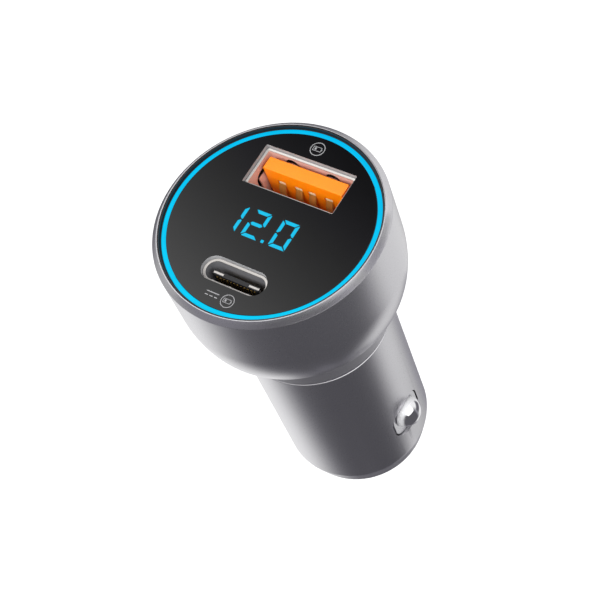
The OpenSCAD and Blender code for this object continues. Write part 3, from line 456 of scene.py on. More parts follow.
def plate(name, outline, low, high, bevel=0.0, holes=(), bevel_low=0.0, turn=None):
    """A flat piece cut from sheet: walls along its outline and holes, and bevelled edges."""
    built = bmesh.new()
    steps = [(bevel_low, low), (0.3 * bevel_low, low + 0.3 * bevel_low)] if bevel_low else []
    steps += [(0, low + bevel_low), (0, high - bevel)]
    steps += [(0.3 * bevel, high - 0.3 * bevel), (bevel, high)] if bevel else []
    tops, bottoms = [], []
    for loop in [list(outline)] + [list(reversed(h)) for h in holes]:
        rings = [[built.verts.new((x, y, z)) for x, y in inset(loop, d)] for d, z in steps]
        count = len(loop)
        for lower, upper in zip(rings, rings[1:]):
            for i in range(count):
                n = (i + 1) % count
                built.faces.new((lower[i], lower[n], upper[n], upper[i])).smooth = True
        bottoms.append(rings[0])
        tops.append(rings[-1])
    for rings in (tops, bottoms):
        edges = [built.edges.get((ring[i], ring[(i + 1) % len(ring)]))
                 for ring in rings for i in range(len(ring))]
        filled = bmesh.ops.triangle_fill(built, edges=edges, use_beauty=True, use_dissolve=False)
        for part in filled["geom"]:
            if isinstance(part, bmesh.types.BMFace):
                part.smooth = False
    bmesh.ops.recalc_face_normals(built, faces=built.faces)
    if turn:
        bmesh.ops.transform(built, matrix=turn, verts=built.verts)
    bmesh.ops.scale(built, vec=(MM, MM, MM), verts=built.verts)
    return from_bmesh(name, built)


# Turns a flat outline so that its first axis runs along Y and it stands out along X.
OUT_X = Matrix(((0, 0, 1, 0), (1, 0, 0, 0), (0, 1, 0, 0), (0, 0, 0, 1)))


def cut_away(piece, cutter, operation="DIFFERENCE"):
    """Cuts one mesh with another, exactly, and removes the cutter."""
    change = piece.modifiers.new("cut", "BOOLEAN")
    change.solver = "EXACT"
    change.operation = operation
    change.object = cutter
    bpy.context.view_layer.update()
    seen = piece.evaluated_get(bpy.context.evaluated_depsgraph_get())
    mesh = bpy.data.meshes.new_from_object(seen)
    piece.modifiers.clear()
    piece.data = mesh
    bpy.data.objects.remove(cutter)


def bevel_edges(piece, width, angle=32, segments=2):
    """Breaks the sharp edges of a cut mesh and makes the rest smooth."""
    built = bmesh.new()
    built.from_mesh(piece.data)
    bmesh.ops.remove_doubles(built, verts=built.verts, dist=1e-7)
    sharp = [e for e in built.edges
             if len(e.link_faces) == 2 and e.calc_face_angle(0) > radians(angle)]
    bmesh.ops.bevel(built, geom=sharp, offset=width * MM, segments=segments, profile=0.5,
                    affect="EDGES", clamp_overlap=True)
    built.to_mesh(piece.data)
    built.free()
    for face in piece.data.polygons:
        face.use_smooth = True
    mark_creases(piece.data, 40)


taper = [(BARREL_R - TAPER_W * t ** 1.3, BARREL_END - TAPER_L * t) for t in (0.25, 0.5, 0.75, 1.0)]
barrel = turned_piece("barrel", rounded(
    [(SPIGOT_BORE_R, SPIGOT_TOP), (SPIGOT_R, SPIGOT_TOP), (SPIGOT_R, BARREL_TOP),
     (BARREL_R - BARREL_CHAMFER, BARREL_TOP), (BARREL_R, BARREL_TOP - BARREL_CHAMFER),
     (BARREL_R, BARREL_END)] + taper
    + [ROLL_START, (ROLLED_R, ROLLED_END), (ROLLED_R - 0.2, ROLLED_END),
       (ROLLED_R - 0.05, TAPER_END), (BORE_R, TAPER_END), (BORE_R, SPIGOT_ROOT),
       (SPIGOT_BORE_R, SPIGOT_ROOT)], EDGE), 288)
at_window = Matrix.Translation((0, 0, WINDOW_Z)) @ OUT_X
cut_away(barrel, plate("window_cutter", round_rect(WINDOW_W, WINDOW_H, WINDOW_R), -12, 12,
                       turn=at_window))
bevel_edges(barrel, 0.07)
finish_piece(barrel, satin_aluminium, "body_metal", "barrel_shell")

# Nose
# A black moulded cap pressed into the barrel's lower end. It closes the barrel, insulates the
# tip and guides it.
NOSE_R, NOSE_END_R, NOSE_L, NOSE_FLOOR = 9.3, 5.5, 3.8, 2.4
NOSE_END = TAPER_END - NOSE_L
CARRIER_R, CARRIER_Z = 9.2, -31.5
TIP_R, TIP_FLANGE_R, RUN_GAP = 3.4, 4.7, 0.15
nose_curve = arc(NOSE_END_R, TAPER_END, NOSE_R - NOSE_END_R, -NOSE_L, 0, 90, 24)
nose = turned_piece("nose", rounded(
    [(CARRIER_R, CARRIER_Z), (CARRIER_R, TAPER_END)] + nose_curve
    + [(TIP_R + RUN_GAP, NOSE_END), (TIP_R + RUN_GAP, NOSE_END + NOSE_FLOOR),
       (TIP_FLANGE_R + RUN_GAP, NOSE_END + NOSE_FLOOR), (TIP_FLANGE_R + RUN_GAP, CARRIER_Z)],
    0.12), 160)


def grained(name, size, colours=None, gloss=None, relief=None, detail=2.0, stretch=None,
            **sockets):
    """A material with an even grain of that size in millimetres, or drawn out by stretch."""
    made, tree, out, place = new_material(name)
    if stretch:
        place = add(tree, "Mapping", Vector=place, Scale=stretch)
    grain = add(tree, "TexNoise", Vector=place, Scale=1000 / size, Detail=detail)
    surface(tree, out, grain, colours, gloss, relief, **sockets)
    return made


# Moulded ABS from a spark-eroded mould: a low, even gloss broken by grains of about 0.15 mm.
black_abs = grained("spark_textured_black_abs", 0.15, ("#121214", "#1B1B1E"), (0.36, 0.5),
                    (0.25, 0.03), 3.0)
finish_piece(nose, black_abs, "black_plastic", "nose_cap")

# Tip
# A turned brass pin, nickel plated, with a round nose, a flange that keeps it in and a stub
# for its spring.
TIP_FLANGE_Z = NOSE_END + NOSE_FLOOR + RUN_GAP
TIP_FLANGE_T, TIP_STUB_R, TIP_STUB_H, TIP_DOME = 1.0, 3.05, 1.0, 1.0
TIP_END, TIP_TOP = NOSE_END - 2.6, TIP_FLANGE_Z + TIP_FLANGE_T + TIP_STUB_H
tip_curve = arc(TIP_R - TIP_DOME, TIP_END + TIP_DOME, TIP_DOME, -TIP_DOME, 0, 90, 12)
tip = turned_piece("tip", rounded(
    [(0, TIP_TOP), (TIP_STUB_R, TIP_TOP), (TIP_STUB_R, TIP_FLANGE_Z + TIP_FLANGE_T),
     (TIP_FLANGE_R, TIP_FLANGE_Z + TIP_FLANGE_T), (TIP_FLANGE_R, TIP_FLANGE_Z),
     (TIP_R, TIP_FLANGE_Z)] + tip_curve + [(0, TIP_END)], 0.08), 128)

# Nickel plate over fine turning marks of about 0.12 mm: warm, bright and slightly streaked.
nickel, tree, out, place = new_material("turned_nickel_plate")
axes = add(tree, "SeparateXYZ", Vector=place)
flat_place = add(tree, "CombineXYZ", X=axes.outputs["X"], Y=axes.outputs["Y"])
reach = add(tree, "VectorMath", {"operation": "LENGTH"}, _0=flat_place)
along = add(tree, "Math", {"operation": "ADD"},
            _0=reach.outputs["Value"], _1=axes.outputs["Z"])
marks = add(tree, "TexNoise", {"noise_dimensions": "1D"}, W=along,
            Scale=1000 / 0.12, Detail=2.0)
surface(tree, out, marks, ("#D2CEC6", "#C2BEB6"), (0.12, 0.26), (0.12, 0.01), Metallic=1.0)
finish_piece(tip, nickel, "nickel", "tip_pin", body="tip")

# Side contacts
# Two sprung steel contacts, stamped and chrome plated: a polished dome on a pad that fills
# the barrel's window, with a flange behind the window's edge and a pocket for the spring.
PAD_W, PAD_H, PAD_R, PAD_FRONT = 6.0, 6.2, 2.25, 10.0
FLANGE_W, FLANGE_H, FLANGE_R, FLANGE_BACK, FLANGE_FRONT = 7.7, 7.9, 3.1, 7.516, 8.316
DOME_R, DOME_X, DOME_Z, DOME_FILLET, DOME_ROOT = 2.28, 10.12, -25.25, 0.16, 0.4
POCKET_R, POCKET_END = 2.0, 9.35
SATIN_TO, SATIN_FROM = 11.35, 10.9

# Bright chrome over polished steel: a near mirror on the crown, which use rubs bright, and
# satin towards the dome's foot, with faint rubbing marks about 0.4 mm apart.
chrome, tree, out, place = new_material("polished_chrome_plate")
rubs = add(tree, "TexNoise", Vector=place, Scale=1000 / 0.4, Detail=4.0)
axes = add(tree, "SeparateXYZ", Vector=place)
stand = add(tree, "Math", {"operation": "ABSOLUTE"}, _0=axes.outputs["X"])
foot_share = add(tree, "MapRange", {"interpolation_type": "SMOOTHSTEP"},
                 Value=stand, _1=SATIN_TO * MM, _2=SATIN_FROM * MM, _3=0.0, _4=1.0)
streaky = add(tree, "MapRange", Value=rubs, _3=0.03, _4=0.08)
gloss = add(tree, "Math", {"operation": "MULTIPLY_ADD"}, _0=foot_share, _1=0.45,
            _2=streaky)
bare = add(tree, "Math", {"operation": "MULTIPLY_ADD"}, _0=foot_share, _1=-0.55,
           _2=1.0)
surface(tree, out, rubs, ("#F2F2F4", "#E8E8EA"), Metallic=bare, Roughness=gloss)

# The same plate on the stamped pad, whose steel was left dull under it, in a grain of 0.2 mm.
dull_chrome = grained("chrome_plate_on_stamped_steel", 0.2, None, (0.22, 0.34), (0.2, 0.02), 3.0,
                      Base_Color=linear("#CFCFD2"), Metallic=1.0)
right_contact = plate("right_contact", round_rect(PAD_W, PAD_H, PAD_R), FLANGE_BACK, PAD_FRONT,
                      0.14, turn=at_window)
cut_away(right_contact, plate("flange", round_rect(FLANGE_W, FLANGE_H, FLANGE_R), FLANGE_BACK,
                              FLANGE_FRONT, 0.08, bevel_low=0.08, turn=at_window), "UNION")
# The dome, turned about its own axis, with a small fillet where it leaves the pad.
foot = sqrt(DOME_R ** 2 - (PAD_FRONT - DOME_X) ** 2) + DOME_FILLET * 0.5
low = degrees(asin((PAD_FRONT + DOME_FILLET - DOME_X) / DOME_R))
profile = arc(0, DOME_X, DOME_R, DOME_R, 90, low, 40)
profile += [(foot, PAD_FRONT), (foot, PAD_FRONT - DOME_ROOT), (0, PAD_FRONT - DOME_ROOT)]
sideways = Matrix.Rotation(pi / 2, 4, "Y")
dome = turned_piece("dome", profile, 96)
dome.data.transform(Matrix.Translation((0, 0, DOME_Z * MM)) @ sideways)
cut_away(right_contact, dome, "UNION")
pocket = turned_piece("pocket", [(0, FLANGE_BACK - 1), (POCKET_R, FLANGE_BACK - 1),
                                 (POCKET_R, POCKET_END), (0, POCKET_END)], 64)
pocket.data.transform(Matrix.Translation((0, 0, WINDOW_Z * MM)) @ sideways)
cut_away(right_contact, pocket)
mark_creases(right_contact.data, 35)
right_contact.data.materials.clear()
left_contact = placed("left_contact", right_contact.data.copy())
left_contact.data.transform(Matrix.Rotation(pi, 4, "Z"))
for contact, name, side in ((right_contact, "right", 1), (left_contact, "left", -1)):
    finish_piece(contact, chrome, "chrome", "side_contact_" + name, body=name + "_contact")
    middle = Vector((side * DOME_X, 0, DOME_Z))
    second_finish(contact, dull_chrome,
                  lambda at, way: abs((at - middle).length - DOME_R) >= 0.03
                  or abs(at.x) <= PAD_FRONT)

# Face frame
# A black moulded frame dropped into the rim. Its lip, with a thin bead up the rim's inner
# wall, shows as a black line outside the lit ring; its plate carries the panel and has pockets
# for the lamps, and posts below.
FACE_Z, PLATE_Z = 16.67, 15.67
BEAD_R, BEAD_Z = 13.96, 17.12
FRAME_R, LIP_R, RING_OUT_R, RING_IN_R, PANEL_R = 14.11, 13.80, 13.76, 13.21, 13.17
BIG_W, BIG_H, BIG_Y, BIG_WALL, BIG_FOLD_R, MOUTH_R = 13.1, 5.72, 6.788, 0.3, 0.4, 0.15
SMALL_W, SMALL_H, SMALL_Y, SMALL_WALL = 8.94, 3.16, -8.354, 0.3
SLIP = 0.1
POST_R, POST_AT_R, POST_Y, BOARD_TOP = 1.1, 11.0, 3.7, 2.5
SHOW_W, SHOW_L, SHOW_Y = 12.007, 5.603, -1.073
LAMPS, LAMP_R, LAMP_HALF = 12, 13.05, 0.95


def circle(r, steps=256, x=0.0, y=0.0):
    """A circle, counter-clockwise."""
    return arc(x, y, r, r, 0, 360, steps)[:-1]


def moved(loop, x, y, angle=0.0):
    """An outline turned and then moved."""
    c, s = cos(angle), sin(angle)
    return [(x + c * u - s * v, y + s * u + c * v) for u, v in loop]


def slot_outline(w, h):
    """A slot with half-round ends."""
    return round_rect(w, h, h / 2 - 1e-4, 24)


big_mouth = moved(round_rect(BIG_W + 2 * SLIP, BIG_H + 2 * SLIP, MOUTH_R, 4), 0, BIG_Y)
small_mouth = moved(slot_outline(SMALL_W + 2 * SLIP, SMALL_H + 2 * SLIP), 0, SMALL_Y)
show_mouth = moved(round_rect(SHOW_W + 2 * SLIP, SHOW_L + 2 * SLIP, 0.3), 0, SHOW_Y)
pocket = [(LAMP_R - 0.4, -LAMP_HALF), (LIP_R - 0.1, -LAMP_HALF),
          (LIP_R - 0.1, LAMP_HALF), (LAMP_R - 0.4, LAMP_HALF)]
pockets = [moved(pocket, 0, 0, 2 * pi * (i + 0.5) / LAMPS) for i in range(LAMPS)]
front_frame = plate("front_frame", circle(FRAME_R), LEDGE_Z, PLATE_Z,
                    holes=[big_mouth, small_mouth, show_mouth] + pockets, bevel_low=0.05)
cut_away(front_frame, plate("lip", circle(FRAME_R), PLATE_Z - 0.1, FACE_Z, 0.06,
                            holes=[circle(LIP_R)]), "UNION")
cut_away(front_frame, plate("bead", circle(FRAME_R - 0.005), FACE_Z - 0.2, BEAD_Z, 0.04,
                            holes=[circle(BEAD_R)]), "UNION")
for sx, sy in ((-1, -1), (-1, 1), (1, -1), (1, 1)):
    at = (sx * sqrt(POST_AT_R ** 2 - POST_Y ** 2), sy * POST_Y)
    cut_away(front_frame, plate("post", circle(POST_R, 32, *at), BOARD_TOP, LEDGE_Z + 0.1,
                                bevel_low=0.15), "UNION")
mark_creases(front_frame.data)
finish_piece(front_frame, black_abs, "black_plastic", "face_frame")

# Lit ring
# A milky acrylic ring that lies on the frame round the panel and spreads the lamps' light.
lit_ring = turned_piece("lit_ring", rounded(
    [(RING_IN_R, PLATE_Z), (RING_OUT_R, PLATE_Z), (RING_OUT_R, FACE_Z), (RING_IN_R, FACE_Z)],
    0.06), 384)

# Cyan light through milky acrylic. It is slightly stronger over each of the twelve lamps.
# Its hue is painted cyan on the near side and bluer on the far side, a painted highlight of its
# rounded top. Its haze is 1.5 mm wide.
glowing_acrylic, tree, out, place = new_material("lit_milky_acrylic")
haze = add(tree, "TexNoise", Vector=place, Scale=1000 / 1.5, Detail=2.0)
axes = add(tree, "SeparateXYZ", Vector=place)
round_it = add(tree, "Math", {"operation": "ARCTAN2"},
               _0=axes.outputs["Y"], _1=axes.outputs["X"])
beats = add(tree, "Math", {"operation": "MULTIPLY"}, _0=round_it, _1=float(LAMPS))
wave = add(tree, "Math", {"operation": "COSINE"}, _0=beats)
power = add(tree, "MapRange", Value=wave, _1=-1.0, _2=1.0, _3=1.03, _4=0.97)
# Painted highlight: the glow runs from cyan on the near side to blue on the far side.
far = add(tree, "MapRange", Value=axes.outputs["Y"],
          _1=-14 * MM, _2=14 * MM, _3=0.0, _4=1.0)
hue = add(tree, "Mix", COLOUR, _0=far,
          _6=linear("#00C6EE"), _7=linear("#00B4E6"))
surface(tree, out, haze, ("#003C4C", "#004456"), Roughness=0.3, IOR=1.49,
        Specular_IOR_Level=0.06, Emission_Color=hue.outputs[2], Emission_Strength=power)
finish_piece(lit_ring, glowing_acrylic, "lit_ring", "light_ring")

# Panel
# A disc of clear acrylic, polished on top, printed black on its back and laser cut for the
# ports and the reading. The cut walls stay clear and frosted, so they look light grey.
DIGIT_H, DIGIT_W, STROKE, GAP, PITCH, DOT = 4.002, 2.4515, 0.5003, 0.07, 4.0525, 0.45
READING_RIGHT, READING_LOW = 3.902, SHOW_Y - DIGIT_H / 2


def digit_stroke(index):
    """One stroke of a digit: 0 top, 1 and 2 right, 3 bottom, 4 and 5 left, 6 middle."""
    w, h, s, g = DIGIT_W, DIGIT_H, STROKE, GAP
    top = [(g, h), (w - g, h), (w - s - g, h - s), (s + g, h - s)]
    right = [(w, h - g), (w, h / 2 + g), (w - s / 2, h / 2 + g), (w - s, h / 2 + s / 2 + g),
             (w - s, h - s - g)]
    middle = [(s / 2 + g, h / 2), (s + g, h / 2 + s / 2), (w - s - g, h / 2 + s / 2),
              (w - s / 2 - g, h / 2), (w - s - g, h / 2 - s / 2), (s + g, h / 2 - s / 2)]
    loop = {0: top, 3: top, 6: middle}.get(index, right)
    if index in (2, 3, 4):
        loop = [(x, h - y) for x, y in loop]
    if index in (4, 5):
        loop = [(w - x, y) for x, y in loop]
    turns = sum(a[0] * b[1] - b[0] * a[1] for a, b in zip(loop, loop[1:] + loop[:1]))
    return loop if turns > 0 else list(reversed(loop))


strokes = [moved(digit_stroke(i), left, READING_LOW)
           for lit, left in (((0, 1, 2, 3, 4, 5), READING_RIGHT - DIGIT_W),
                             ((0, 1, 6, 4, 3), READING_RIGHT - DIGIT_W - PITCH),
                             ((1, 2), READING_RIGHT - 2 * DIGIT_W - PITCH - 1.7 * STROKE))
           for i in lit]
DOT_X = READING_RIGHT - DIGIT_W - 2.16 * STROKE
strokes.append(moved([(0, 0), (DOT, 0), (DOT, DOT), (0, DOT)], DOT_X, READING_LOW))
panel = plate("panel", circle(PANEL_R, 320), PLATE_Z, FACE_Z, 0.04,
              holes=[big_mouth, small_mouth] + strokes)

# Polished acrylic over black ink: a deep black with a clear, hard reflection, and a haze of
# wiping marks about 3 mm wide.
black_panel = grained("polished_acrylic_over_black_print", 3.0, ("#070708", "#0A0A0B"),
                      (0.07, 0.09), detail=3.0, IOR=1.49)

# The cut walls of the same acrylic: pale, matt and finely streaked by the laser, 0.1 mm apart.
cut_acrylic = grained("laser_cut_clear_acrylic_edge", 0.1, ("#8C8C8E", "#B0B0B2"),
                      Roughness=0.45, IOR=1.49)
finish_piece(panel, black_panel, "panel_gloss", "face_panel")
second_finish(panel, cut_acrylic, lambda at, way: (
    at.xy.length < PANEL_R - 0.3 and abs(way.z) < 0.4
    and (at.y > BIG_Y - BIG_H / 2 - 0.3 or at.y < SMALL_Y + SMALL_H / 2 + 0.3)))

# Reading
# Fourteen strokes of clear acrylic, laser cut, that stand in the panel's cuts. They carry the
# light from the display's wells up to the panel's top.
WELL, STROKE_GAP, STROKE_LOW = 0.67, 0.055, 0.005


def merged(name, parts):
    """Several meshes as one piece."""
    built = bmesh.new()
    for part in parts:
        built.from_mesh(part.data)
        bpy.data.objects.remove(part)
    return from_bmesh(name, built)


reading = merged("lit_reading", [
    plate("stroke", inset(loop, STROKE_GAP), PLATE_Z - WELL, FACE_Z - STROKE_LOW)
    for loop in strokes])

# Cyan light through clear acrylic with a diffusing film: even, with soft mottling 0.4 mm wide.
lit_film, tree, out, place = new_material("lit_diffusing_acrylic")
mottle = add(tree, "TexNoise", Vector=place, Scale=1000 / 0.4, Detail=1.0)
power = add(tree, "MapRange", Value=mottle, _3=0.92, _4=1.04)
hue = add(tree, "Mix", COLOUR, _0=mottle,
          _6=linear("#0EBCE6"), _7=linear("#16C2EC"))
surface(tree, out, mottle, Base_Color=linear("#00303E"), Roughness=0.2, IOR=1.49,
        Specular_IOR_Level=0.2, Emission_Color=hue.outputs[2], Emission_Strength=power)
finish_piece(reading, lit_film, "lit_strokes", "display_segments")

# Printed marks
# A few small generic signs, screen printed in grey ink on the panel: a ring with a battery
# above the large port, and below the small port the sign for direct current and a second ring.
INK, MARK_R, MARK_LINE = 0.012, 1.0, 0.1


def printed(name, outline, x, y, *holes):
    """A thin layer of ink on the panel, with its outline and holes moved to x, y."""
    return plate(name, moved(outline, x, y), FACE_Z, FACE_Z + INK,
                 holes=[moved(hole, x, y) for hole in holes])


signs = []
for x, y, r, line in ((-0.1, 11.47, MARK_R, MARK_LINE), (1.25, -11.7, 0.9, 0.09)):
    signs.append(printed("ring_mark", circle(r, 64), x, y, circle(r - line, 64)))
    # The battery: its case, its cap and a charge bar.
    x, w, h, line = x - 0.05, r * 1.2, r * 0.66, line * 0.7
    signs += [
        printed("case", round_rect(w, h, line), x, y,
                round_rect(w - 2 * line, h - 2 * line, line / 3)),
        printed("cap", round_rect(line, h * 0.4, line / 4), x + w / 2 + line * 0.8, y),
        printed("bar", round_rect(w * 0.22, h - 4.6 * line, line / 4), x - w * 0.2, y)]
DC_X, DC_Y, DC_W, DC_LINE = -1.05, -11.62, 1.8, 0.12
signs.append(printed("line_mark", round_rect(DC_W, DC_LINE, 0.04), DC_X, DC_Y + 0.25))
signs += [printed("dash_mark", round_rect(DC_W * 0.25, DC_LINE, 0.04),
                  DC_X + i * DC_W * 0.375, DC_Y - 0.25) for i in (-1, 0, 1)]
marks_piece = merged("printed_marks", signs)

# Screen-printed grey ink: matt, with tiny pinholes from the mesh, 0.08 mm apart.
grey_ink = grained("screen_printed_grey_ink", 0.08, ("#8E8E90", "#9E9EA0"), detail=1.0,
                   Roughness=0.6)
finish_piece(marks_piece, grey_ink, "white_plastic")

# Large port, shell
# Nickel-plated steel sheet, folded into a box with round corners. Six spring leaves are
# punched free in arch-topped windows and bent inwards to grip the plug.
MOUTH_Z, MOUTH_LIP, COINED = 16.12, 0.07, 0.06
LEAF_WINDOW_L, LEAF_GAP, LEAF_BEND, LEAF_X = 5.2, 0.4, 0.3, 3.0
LONG_WINDOW_W, SIDE_WINDOW_W, WINDOW_TOP = 2.1, 2.4, 15.62
# Stands a flat outline up, facing along Y.
STAND_Y = Matrix(((-1, 0, 0, 0), (0, 0, 1, 0), (0, 1, 0, 0), (0, 0, 0, 1)))


def smooth_path(points):
    """A smooth line through the points."""
    made, steps = [], 8
    for i in range(len(points) - 1):
        p = [Vector(points[max(0, min(len(points) - 1, i + k))]) for k in (-1, 0, 1, 2)]
        for k in range(steps):
            t = k / steps
            made.append(0.5 * (2 * p[1] + (p[2] - p[0]) * t
                               + (2 * p[0] - 5 * p[1] + 4 * p[2] - p[3]) * t * t
                               + (3 * p[1] - p[0] - 3 * p[2] + p[3]) * t ** 3))
    return made + [Vector(points[-1])]


def strip_outline(points, thickness):
    """The side view of a bent strip of sheet along those points, counter-clockwise."""
    path = smooth_path(points)
    sides = ([], [])
    for i, at in enumerate(path):
        way = (path[min(i + 1, len(path) - 1)] - path[max(i - 1, 0)]).normalized()
        off = Vector((-way.y, way.x)) * thickness / 2
        sides[0].append(tuple(at - off))
        sides[1].append(tuple(at + off))
    return sides[0] + sides[1][::-1]


def coined(shell, inner):
    """Presses the inner edge of a shell's mouth down a little, as the stamping does."""
    for corner in shell.data.vertices:
        if corner.co.z > (MOUTH_Z - 0.2) * MM and inner(corner.co.x / MM, corner.co.y / MM):
            corner.co.z -= COINED * MM


def port_shell(name, shape, w, h, y, wall, foot):
    """A sheet shell about 0, y: its outline and bore have a shape that takes width and height."""
    lip = 2 * MOUTH_LIP
    return plate(name, moved(shape(w + lip, h + lip), 0, y), foot, MOUTH_Z, 0.07,
                 holes=[moved(shape(w - 2 * wall, h - 2 * wall), 0, y)])


def folded(w, h):
    """The folded box's outline, whose corners are rounder outside than in."""
    return round_rect(w, h, BIG_FOLD_R if w > BIG_W else BIG_FOLD_R - BIG_WALL, 6)


big_shell = port_shell("large_port_shell", folded, BIG_W, BIG_H, BIG_Y, BIG_WALL, BOARD_TOP)
coined(big_shell,
       lambda x, y: max(abs(x) - BIG_W / 2, abs(y - BIG_Y) - BIG_H / 2) < -BIG_WALL / 2)
long_wall = (BIG_H / 2, LONG_WINDOW_W, WINDOW_TOP)
side_wall = (BIG_W / 2, SIDE_WINDOW_W, WINDOW_TOP - 0.6)
leaves = []
for angle, along, (out_to, width, top) in (
        (0, LEAF_X, long_wall), (0, -LEAF_X, long_wall), (180, LEAF_X, long_wall),
        (180, -LEAF_X, long_wall), (90, 0, side_wall), (270, 0, side_wall)):
    wall = (Matrix.Translation((0, BIG_Y, top)) @ Matrix.Rotation(radians(angle), 4, "Z")
            @ Matrix.Translation((along, out_to - BIG_WALL, 0)))
    arch = [(-width / 2, -LEAF_WINDOW_L), (width / 2, -LEAF_WINDOW_L)]
    arch += arc(0, -width / 2, width / 2, width / 2, 0, 180, 16)
    cut_away(big_shell, plate("leaf_window", arch, -0.5, BIG_WALL + 0.6, turn=wall @ STAND_Y))
    half, bend = width / 2 - LEAF_GAP, LEAF_BEND / 2
    side_view = strip_outline([(bend, -LEAF_WINDOW_L - 0.3), (bend, -LEAF_WINDOW_L),
                               (-bend, -2.2), (-bend, -1.5), (0.03, -0.56)], BIG_WALL - 0.02)
    leaves.append(plate("leaf", side_view, -half, half, 0.05, (), 0.05, wall @ OUT_X))
big_shell = merged("large_port_shell", [big_shell] + leaves)

# Nickel-plated sheet steel, rolled and punched: bright, warm grey, with rolling streaks along
# the port's depth, about 0.06 mm apart.
ROLLED = (1.0, 1.0, 0.06)
port_steel = grained("nickel_plated_sheet_steel", 0.06, ("#D8D4D0", "#C8C4C0"), (0.2, 0.36),
                     (0.1, 0.01), stretch=ROLLED, Metallic=1.0)
finish_piece(big_shell, port_steel, "port_steel", "port_a_shell")

# The sheet's inner face, left dull by the rolls: a satin plate with the same streaks. Its
# slightly coppery pink is painted light, the orange of the tongue bounced onto the walls.
inner_plate_painted_bounce = grained("rolled_nickel_plate_painted_bounce", 0.06, ("#F0CCC0", "#E2BCB0"), stretch=ROLLED,
                      Metallic=0.3, Roughness=0.5)
second_finish(big_shell, inner_plate_painted_bounce, lambda at, way: (
    abs(at.x) < BIG_W / 2 - BIG_WALL + 0.02 and abs(at.y - BIG_Y) < BIG_H / 2 - BIG_WALL + 0.02
    and at.z < MOUTH_Z - 0.14))

# Large port, tongue
# One orange moulding: a block that plugs the shell's foot and the tongue that carries the
# four contacts in slots.
TONGUE_W, TONGUE_T, TONGUE_BACK, TONGUE_END, BLOCK_TOP = 11.7, 1.84, 8.748, 15.87, 6.5
TONGUE_X, TONGUE_FRONT, BLOCK_GAP = 0.1, TONGUE_BACK - TONGUE_T, 0.04
LEAF_XS, CONTACT_W, CONTACT_T, SLOT_T = (-3.5, -1.0, 1.0, 3.5), 1.0, 0.25, 0.3
CONTACT_TIP, CONTACT_ROOT, CONTACT_BOW = 13.77, 7.57, 0.85
room = 2 * (BIG_WALL + BLOCK_GAP)
foot = moved(round_rect(BIG_W - room, BIG_H - room, 0.06, 3), 0, BIG_Y)
block = plate("large_port_tongue", foot, BOARD_TOP, BLOCK_TOP, 0.1)
cut_away(block, plate("blade", moved(round_rect(TONGUE_W, TONGUE_T, 0.08, 4),
                                     TONGUE_X, TONGUE_BACK - TONGUE_T / 2),
                      BLOCK_TOP - 0.5, TONGUE_END, 0.08), "UNION")


def box_outline(x0, x1, y0, y1):
    """A rectangle from its sides, counter-clockwise."""
    return [(x0, y0), (x1, y0), (x1, y1), (x0, y1)]


for x in LEAF_XS:
    half = CONTACT_W / 2 + SLIP
    outline = box_outline(x - half, x + half, TONGUE_FRONT - 0.4, TONGUE_FRONT + SLOT_T)
    cut_away(block, plate("contact_slot", outline, BLOCK_TOP - 0.05, CONTACT_TIP + CONTACT_T))
bevel_edges(block, 0.03, 50, 1)

# Moulded orange nylon: satin, lightly translucent at its edges, with a fine grain of 0.2 mm.
orange_nylon = grained("moulded_orange_nylon", 0.2, ("#FF9000", "#FF8800"), (0.34, 0.46),
                       (0.15, 0.02), 3.0, IOR=1.53, Subsurface_Weight=0.15,
                       Subsurface_Scale=0.0006, Subsurface_Radius=(1.0, 0.35, 0.08))
finish_piece(block, orange_nylon, "orange_plastic", "port_a_tongue")

# Large port, contacts
# Four leaves of gilt spring bronze, stamped and bent, standing in the tongue's slots.
mid = TONGUE_FRONT + SLOT_T - 0.02 - CONTACT_T / 2
CREST, BEND = (CONTACT_TIP + CONTACT_ROOT) / 2, (CONTACT_TIP - CONTACT_ROOT) / 2
bowed = mid - 0.6 * CONTACT_BOW
side_view = strip_outline([
    (mid, BOARD_TOP), (mid, CONTACT_ROOT - 1), (mid, CONTACT_ROOT), (bowed, CREST - 0.39 * BEND),
    (mid - CONTACT_BOW + 0.12, CREST), (bowed, CREST + 0.52 * BEND),
    (mid, CONTACT_TIP - 1.4 * CONTACT_T), (mid, CONTACT_TIP)], CONTACT_T)
big_contacts = merged("large_port_contacts", [
    plate("contact", side_view, x - CONTACT_W / 2, x + CONTACT_W / 2, 0.05, (), 0.05, OUT_X)
    for x in LEAF_XS])

# Gilt bronze: warm and bright, with drawn streaks about 0.08 mm apart along each leaf.
gilt = grained("gilt_spring_bronze", 0.08, ("#E8C46C", "#D6AC54"), (0.34, 0.46),
               stretch=(1.0, 0.2, 0.1), Metallic=0.75)
finish_piece(big_contacts, gilt, "gilt", "port_a_contacts")

# The cut tips of the leaves, matt in the shears' 0.1 mm grain, are painted near white: a
# painted highlight where they catch the light from above.
tip_painted_highlight = grained("sheared_bronze_painted_highlight", 0.1, ("#FFF2CE", "#F4DEB0"), detail=1.0, Metallic=0.3,
                  Roughness=0.5)
tips_z = max(corner.co.z for corner in big_contacts.data.vertices) / MM
second_finish(big_contacts, tip_painted_highlight, lambda at, way: at.z > tips_z - 0.3)

# Small port, shell
# A seamless drawn steel shell, nickel plated, with three dimples pressed inwards near its
# mouth on the front side.
SMALL_FOOT, DIMPLE_R = 6.07, 0.28
small_shell = port_shell("small_port_shell", slot_outline, SMALL_W, SMALL_H, SMALL_Y,
                         SMALL_WALL, SMALL_FOOT)


def off_line(x, y):
    """How far a point lies from the line between the small port's two end centres."""
    return hypot(max(0, abs(x) - (SMALL_W - SMALL_H) / 2), y - SMALL_Y)


